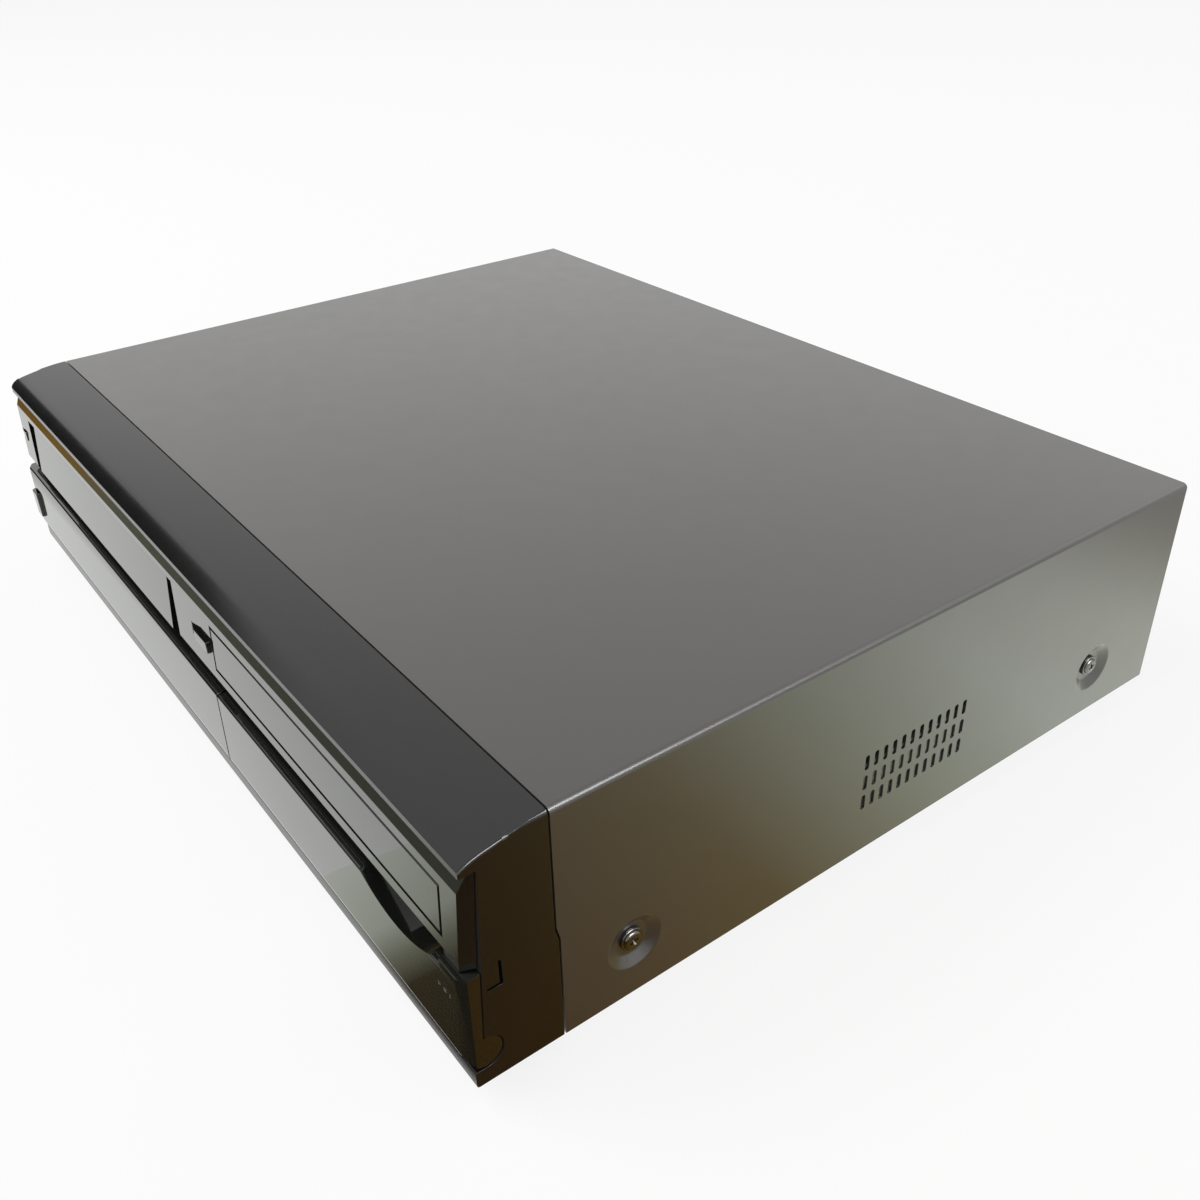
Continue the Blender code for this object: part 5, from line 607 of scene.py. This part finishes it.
# Moulded front: the CAD pieces with their edges rounded
FRONT_COPIES = [
    ("smoked_window", "display_window", "gloss_front", "housing", 0.3 * MM),
    ("flip_door", "lower_door", "gloss_front", "door", 0.2 * MM),
    ("open_close_cap", "open_close_button", "gloss_front", "open_close_button", 0.25 * MM),
    ("power_cap", "power_button", "gloss_front", "power_button", 0.25 * MM),
]
PANEL_ENDS = (-214.7 * MM, 214.6 * MM)
PANEL_SECTION = [(-25.474, 45.5, 0), (-23.823, 81.5, 0), (-25.1, 81.5, 0.4), (-25.5, 80.4, 0.4),
                 (-28.13, 73.6, 0.7), (-29.535, 45.5, 1.2)]
PANEL_PLAN = [(-214.7, -20, 0), (-214.7, -29.9, 1.6), (205.8, -31.54, 0), (210.2, -29.6, 1.2),
              (214.6, -23.5, 0), (214.6, -20, 0)]
STRIP_START = 202.2 * MM
PANEL_STRIP = [(-24.9, 60), (-28.7, 60), (-29.495, 44.3), (-25.53, 45.5)]
PANEL_HOLES = [((-197.2, 0.4), (40, 70.8)), ((38.5, 202.2), (50.5, 70.0)), ((18.2, 36.3), (56.5, 61.9)),
               ((-217, -206.1), (56.5, 61.9))]
LIP_EDGE_ROUND = 0.8 * MM
LUG_EDGE = (10.6 * MM, 11.8 * MM)
LUG_RAISE = 0.25 * MM
LUG_PLACES = [(42.78 * MM, 46.4 * MM), (205.18 * MM, 208.8 * MM)]
LIP_CORNER = [(-217, -22, 0), (-215.05, -22, 0), (-215.05, -29.05, 6.0), (-208, -29.05, 0), (-208, -32, 0),
              (-217, -32, 0)]
EJECT_WIDER = 1.9 * MM
EJECT_LOWER = 0.9 * MM
FLAP_DRAW_IN = 7.3 * MM
DISC_DOOR_MIDDLE = (120.35 * MM, -27.6 * MM, 60.25 * MM)
DISC_DOOR_TRIM = (0.9969, 1, 0.972)


def make_raked_panel():
    """Extrude the upper panel's section, trim its ends and open the mouth, the disc slot and the button holes."""
    panel = extruded("raked_panel", outline_of(in_mm(PANEL_SECTION), 5), "X", *PANEL_ENDS)
    strip = extruded("strip", in_mm(PANEL_STRIP), "X", STRIP_START, PANEL_ENDS[1])
    cut(panel, strip, operation="UNION")
    cut(panel, extruded("plan", outline_of(in_mm(PANEL_PLAN), 6), "Z", 40 * MM, 85 * MM), operation="INTERSECT")
    holes = [block("hole", (x0 * MM, -35 * MM, z0 * MM), (x1 * MM, -20 * MM, z1 * MM))
             for (x0, x1), (z0, z1) in PANEL_HOLES]
    cut(panel, *holes)
    soften(panel, 0.3 * MM, 3)
    hand_over(panel, "gloss_front", "housing", "upper_front_panel")


def make_shell():
    """Copy the moulded front, round its lip's left corner and its top's ends, and give its recessed wall the matt
    black finish as painted shade: it reflects less, in place of the shade that falls in the recess.
    """
    shell = smooth_copy("front_shell", "front_fascia", 0.0)
    cut(shell, extruded("corner", outline_of(in_mm(LIP_CORNER), 10), "Z", 81.75 * MM, 92 * MM))
    pick(shell, edges=lambda a, b: a.x * b.x > 0 and min(abs(a.x), abs(b.x)) > 214.9 * MM
         and min(a.z, b.z) > 83.6 * MM and max(a.y, b.y) < 0.3 * MM and abs(a.y - b.y) > 0.3 * MM)
    bpy.ops.mesh.bevel(offset=LIP_EDGE_ROUND, segments=3, clamp_overlap=False)
    done()
    for corner in shell.data.vertices:
        corner.co.x = max(-HALF_WIDTH, min(HALF_WIDTH, corner.co.x))
    pick(shell, verts=lambda place: LUG_EDGE[0] < place.z < LUG_EDGE[1] and -24.2 * MM < place.y < -20.3 * MM
         and any(low < place.x < high for low, high in LUG_PLACES))
    bpy.ops.transform.translate(value=(0, 0, LUG_RAISE))
    done()
    soften(shell, 0.3 * MM)
    hand_over(shell, "dark_front", "housing", "front_fascia")
    # Painted shade: the recessed wall takes the matt black finish, which reflects less, to stand in for the shade
    # in the recess
    shell.data.materials.append(FINISHES["black_moulding"])
    for face in shell.data.polygons:
        x, y, z = face.center - Vector((0, SEAM_Y, FOOT_HEIGHT))
        if -27.6 * MM < y < -20 * MM and 6.5 * MM < z < 60 * MM and abs(x) < 212 * MM:
            face.material_index = 1


def make_eject_cap():
    """Copy the eject button, carry its cap out to the panel's end and let it stand less proud."""
    cap = smooth_copy("eject_cap", "eject_button", 0.0)
    for test, step in ((lambda place: place.x < -212.5 * MM, (-EJECT_WIDER, 0, 0)),
                       (lambda place: place.y < -29.6 * MM, (0, EJECT_LOWER, 0))):
        pick(cap, verts=test)
        bpy.ops.transform.translate(value=step)
        done()
    soften(cap, 0.25 * MM)
    hand_over(cap, "gloss_front", "eject_button", "eject_button")


def make_flap_plate():
    """Copy the cassette flap and draw its left end in to the panel's opening."""
    flap = smooth_copy("flap_plate", "cassette_flap", 0.0)
    pick(flap, verts=lambda place: place.x < -190 * MM)
    bpy.ops.transform.translate(value=(FLAP_DRAW_IN, 0, 0))
    done()
    soften(flap, 0.25 * MM)
    hand_over(flap, "gloss_front", "flap", "cassette_flap")


def make_disc_door():
    """Copy the disc door and trim it all round, so that its gap shows."""
    door = smooth_copy("disc_door", "tray_bezel", 0.0)
    pick(door, verts=lambda place: True)
    bpy.ops.transform.resize(value=DISC_DOOR_TRIM, center_override=DISC_DOOR_MIDDLE)
    done()
    soften(door, 0.25 * MM)
    hand_over(door, "gloss_front", "tray", "tray_bezel")


def make_front():
    """Round the edges of the moulded pieces of the front."""
    make_shell()
    make_raked_panel()
    make_eject_cap()
    make_flap_plate()
    make_disc_door()
    for name, node, slot, body, width in FRONT_COPIES:
        hand_over(smooth_copy(name, node, width), slot, body, node)


# Sockets, feet, keys and screws
NODE_COPIES = [
    ("jack_plate", "front_jack_panel", "black_moulding", "housing", 0.25 * MM),
    ("mains_inlet", "ac_inlet", "black_moulding", "housing", 0.3 * MM),
    ("tray_deck", "disc_tray", "black_moulding", "tray", 0.35 * MM),
    ("fan_housing", "fan_frame", "black_moulding", "housing", 0.3 * MM),
    ("key_cap_1", "key_1", "dark_front", "key_1", 0.35 * MM),
    ("key_cap_2", "key_2", "dark_front", "key_2", 0.35 * MM),
    ("key_cap_3", "key_3", "dark_front", "key_3", 0.35 * MM),
    ("key_cap_4", "key_4", "dark_front", "key_4", 0.35 * MM),
]
PORTS = [(56.0, 28.45, "jack_yellow"), (68.5, 28.45, "jack_white"), (81.0, 28.45, "jack_red")]
PORT_FRONT = -27.46
JACK_COLOURS = [["jack_yellow", "jack_white", "jack_red", "jack_white", "jack_red"],
                ["jack_green", "jack_blue", "jack_red", "jack_white", "jack_red"]]
JACK_START = (71.0, 34.0)
JACK_PITCH = 17.0
JACK_END = 309.0
AERIALS = [(-12.0, 30.0), (-12.0, 50.0)]
NUT_REACH = 7.2
THREAD_RIDGES = 10
THREAD_PITCH = 0.75
FLAT_CONTACTS = 9
NETWORK_SPRINGS = 8
MAINS_PIN = [(0, 284), (1.25, 284), (1.25, 296.6), (1.05, 297.2), (0.5, 297.6), (0, 297.65)]
MAINS_PLACE = (-180, 30)
MAINS_SPREAD = 4.5
DOOR_MARKS = [[(201.0, 32.6), (202.4, 33.4), (201.0, 34.2)],
              [(204.0, 32.7), (205.4, 32.7), (205.4, 34.1), (204.0, 34.1)],
              [(207.2, 32.6), (207.7, 32.6), (207.7, 34.2), (207.2, 34.2)]]
DOOR_MARK_FACE = -31.76
PANEL_BACK = 298.7
FEET = [(-175, 30), (-175, 270), (175, 30), (175, 270)]
FOOT_PROFILE = [(0, -4.6), (4.0, -4.6), (4.3, -8.7), (4.8, -9.0), (7.4, -9.0), (7.6, -8.5), (8.8, -8.5),
                (9.0, -9.0), (11.4, -9.0), (12.2, -8.6), (12.6, -7.8), (13.0, -0.7), (12.7, -0.3), (0, -0.3)]
FOOT_SCREW_Z = -5.9
SCREW_PROFILE = [(0, 0), (1.6, 0.04), (2.5, 0.2), (2.9, 0.55), (3.0, 1.1), (2.9, 1.25), (0, 1.25)]
SMALL_CROSS_ARMS = ((0.35, 1.7), (1.7, 0.35))
PANEL_SCREWS = [(x, z) for z in (6.0, 84.0) for x in (-205.0, -110.0, 0.0, 112.0, 205.0)]
FAN_SCREWS = [(-65.0 + a, 46.0 + b) for a in (-25.0, 25.0) for b in (-25.0, 25.0)]


def collar(name, place, outer, inner, start, stop, slot, sides=40):
    """Turn a short collar along y with broken edges."""
    edge = min(0.15, (outer - inner) / 4)
    section = [(inner, start), (outer - edge, start), (outer, start + edge), (outer, stop - edge),
               (outer - edge, stop), (inner, stop)]
    made = spun(name, in_mm(section), "Y", (place[0] * MM, 0, place[1] * MM), sides)
    soften(made, 0.0)
    hand_over(made, slot, "housing")


def screw_on(name, place, axis, sign):
    """Turn a pan head on its face and press a cross into it; sign is the way that the head looks."""
    section = [(r * MM, -sign * d * MM) for r, d in SCREW_PROFILE]
    head = spun(name, section, axis, [value * MM for value in place], 28)
    blades = []
    for wide, tall in SMALL_CROSS_ARMS:
        size = {"Y": (wide, 0.9, tall), "Z": (wide, tall, 0.9)}[axis]
        low = [(value - half) * MM for value, half in zip(place, size)]
        high = [(value + half) * MM for value, half in zip(place, size)]
        blades.append(block("recess_tool", low, high))
    cut(head, *blades)
    soften(head, 0.0)
    hand_over(head, "screw_steel", "housing")


def make_feet():
    """Turn the four rubber feet, each with a ring groove and a sunk screw."""
    for index, (x, y) in enumerate(FEET):
        foot = spun("rubber_foot_%d" % (index + 1), in_mm(FOOT_PROFILE), "Z", (x * MM, y * MM, 0), 56)
        soften(foot, 0.0)
        hand_over(foot, "foot_rubber", "housing", "foot_%d" % (index + 1))
        screw_on("foot_screw_%d" % (index + 1), (x, y, FOOT_SCREW_Z), "Z", -1)


def make_front_ports():
    """Ring the three front jacks in their colours and line their bores."""
    for index, (x, z, slot) in enumerate(PORTS):
        collar("port_ring_%d" % (index + 1), (x, z), 4.3, 2.0, PORT_FRONT - 0.25, PORT_FRONT + 0.6, slot)
        collar("port_contact_%d" % (index + 1), (x, z), 1.85, 1.35, PORT_FRONT + 0.3, PORT_FRONT + 9.0,
               "contact_gold", sides=24)


def make_rear_jacks():
    """Shorten the moulded sleeves a little, and ring and line each jack."""
    jacks = smooth_copy("jack_block", "rca_block", 0.0)
    pick(jacks, verts=lambda place: place.y > 308 * MM)
    bpy.ops.transform.translate(value=(0, -0.8 * MM, 0))
    done()
    soften(jacks, 0.2 * MM)
    hand_over(jacks, "black_moulding", "housing", "rca_block")
    for row, colours in enumerate(JACK_COLOURS):
        for column, slot in enumerate(colours):
            place = (JACK_START[0] + column * JACK_PITCH, JACK_START[1] + row * JACK_PITCH)
            label = "%d_%d" % (row + 1, column + 1)
            collar("jack_ring_" + label, place, 4.1, 2.0, JACK_END - 0.75, JACK_END - 0.05, slot)
            collar("jack_sleeve_" + label, place, 4.4, 4.17, PANEL_BACK + 0.1, JACK_END - 1.0, "turned_steel")
            collar("jack_contact_" + label, place, 1.85, 1.35, JACK_END - 9.0, JACK_END - 0.6, "contact_gold",
                   sides=24)


def make_aerial_sockets():
    """Thread the two aerial sockets and line their bores."""
    for index, place in enumerate(AERIALS):
        turns = [step * math.pi / 3 for step in range(6)]
        corners = [(place[0] + NUT_REACH * math.cos(turn), place[1] + NUT_REACH * math.sin(turn)) for turn in turns]
        nut = extruded("aerial_nut_%d" % (index + 1), in_mm(corners), "Y",
                       (PANEL_BACK + 0.05) * MM, (PANEL_BACK + 1.9) * MM)
        hole = spun("nut_bore", in_mm([(0, 290), (4.85, 290), (4.85, 305), (0, 305)]), "Y",
                    (place[0] * MM, 0, place[1] * MM), 40)
        cut(nut, hole)
        soften(nut, 0.2 * MM)
        hand_over(nut, "turned_steel", "housing")
        section = [(4.82, 300.9)]
        for ridge in range(THREAD_RIDGES):
            y = 301.0 + ridge * THREAD_PITCH
            section += [(5.12, y + 0.3), (4.84, y + 0.7)]
        section += [(4.82, 308.6), (4.7, 308.6), (4.7, 300.9)]
        thread = spun("aerial_thread_%d" % (index + 1), in_mm(section), "Y", (place[0] * MM, 0, place[1] * MM), 40)
        soften(thread, 0.0)
        hand_over(thread, "turned_steel", "housing")
        collar("aerial_contact_%d" % (index + 1), place, 1.85, 1.0, JACK_END - 8.0, JACK_END - 0.4, "contact_gold",
               sides=24)


def make_board_sockets():
    """Fit the tongue of the flat socket, the springs of the network socket and the mains pins."""
    tongue = block("flat_tongue", (54.9 * MM, 289 * MM, 12.2 * MM), (65.1 * MM, 297.2 * MM, 13.2 * MM))
    soften(tongue, 0.2 * MM)
    hand_over(tongue, "black_moulding", "housing")
    for index in range(FLAT_CONTACTS):
        x = 56.0 + index
        lead = block("flat_contact_%d" % (index + 1), ((x - 0.22) * MM, 290 * MM, 12.0 * MM),
                     ((x + 0.22) * MM, 296.4 * MM, 12.25 * MM))
        soften(lead, 0.06 * MM, 1)
        hand_over(lead, "contact_gold", "housing")
    for index in range(NETWORK_SPRINGS):
        x = 178.0 + (index - 3.5) * 1.1
        spring = extruded("network_spring_%d" % (index + 1),
                          in_mm([(297.2, 12.0), (297.2, 12.4), (289.0, 17.6), (288.6, 17.4)]), "X",
                          (x - 0.2) * MM, (x + 0.2) * MM)
        soften(spring, 0.06 * MM, 1)
        hand_over(spring, "contact_gold", "housing")
    for index, side in enumerate((-1, 1)):
        place = ((MAINS_PLACE[0] + side * MAINS_SPREAD) * MM, 0, MAINS_PLACE[1] * MM)
        pin = spun("mains_pin_%d" % (index + 1), in_mm(MAINS_PIN), "Y", place, 28)
        soften(pin, 0.0)
        hand_over(pin, "turned_steel", "housing")


def make_screws():
    """Put the pan-head screws into the back panel and the fan."""
    for index, (x, z) in enumerate(PANEL_SCREWS + FAN_SCREWS):
        screw_on("panel_screw_%d" % (index + 1), (x, PANEL_BACK + 1.2, z), "Y", 1)


def make_door_marks():
    """Print three plain signs on the door's right end: a wedge, a square and a bar."""
    for index, outline in enumerate(DOOR_MARKS):
        mark = extruded("door_mark_%d" % (index + 1), in_mm(outline), "Y",
                        (DOOR_MARK_FACE - 0.05) * MM, (DOOR_MARK_FACE + 0.1) * MM)
        hand_over(mark, "pad_print", "door")


def make_small_parts():
    """Make what is small: copies with their edges rounded, sockets, feet, screws and signs."""
    for name, node, slot, body, width in NODE_COPIES:
        hand_over(smooth_copy(name, node, width), slot, body, node)
    make_feet()
    make_front_ports()
    make_rear_jacks()
    make_aerial_sockets()
    make_board_sockets()
    make_screws()
    make_door_marks()


dress_nodes()
make_cover()
make_cover_screws()
make_front()
make_small_parts()
make_stage()
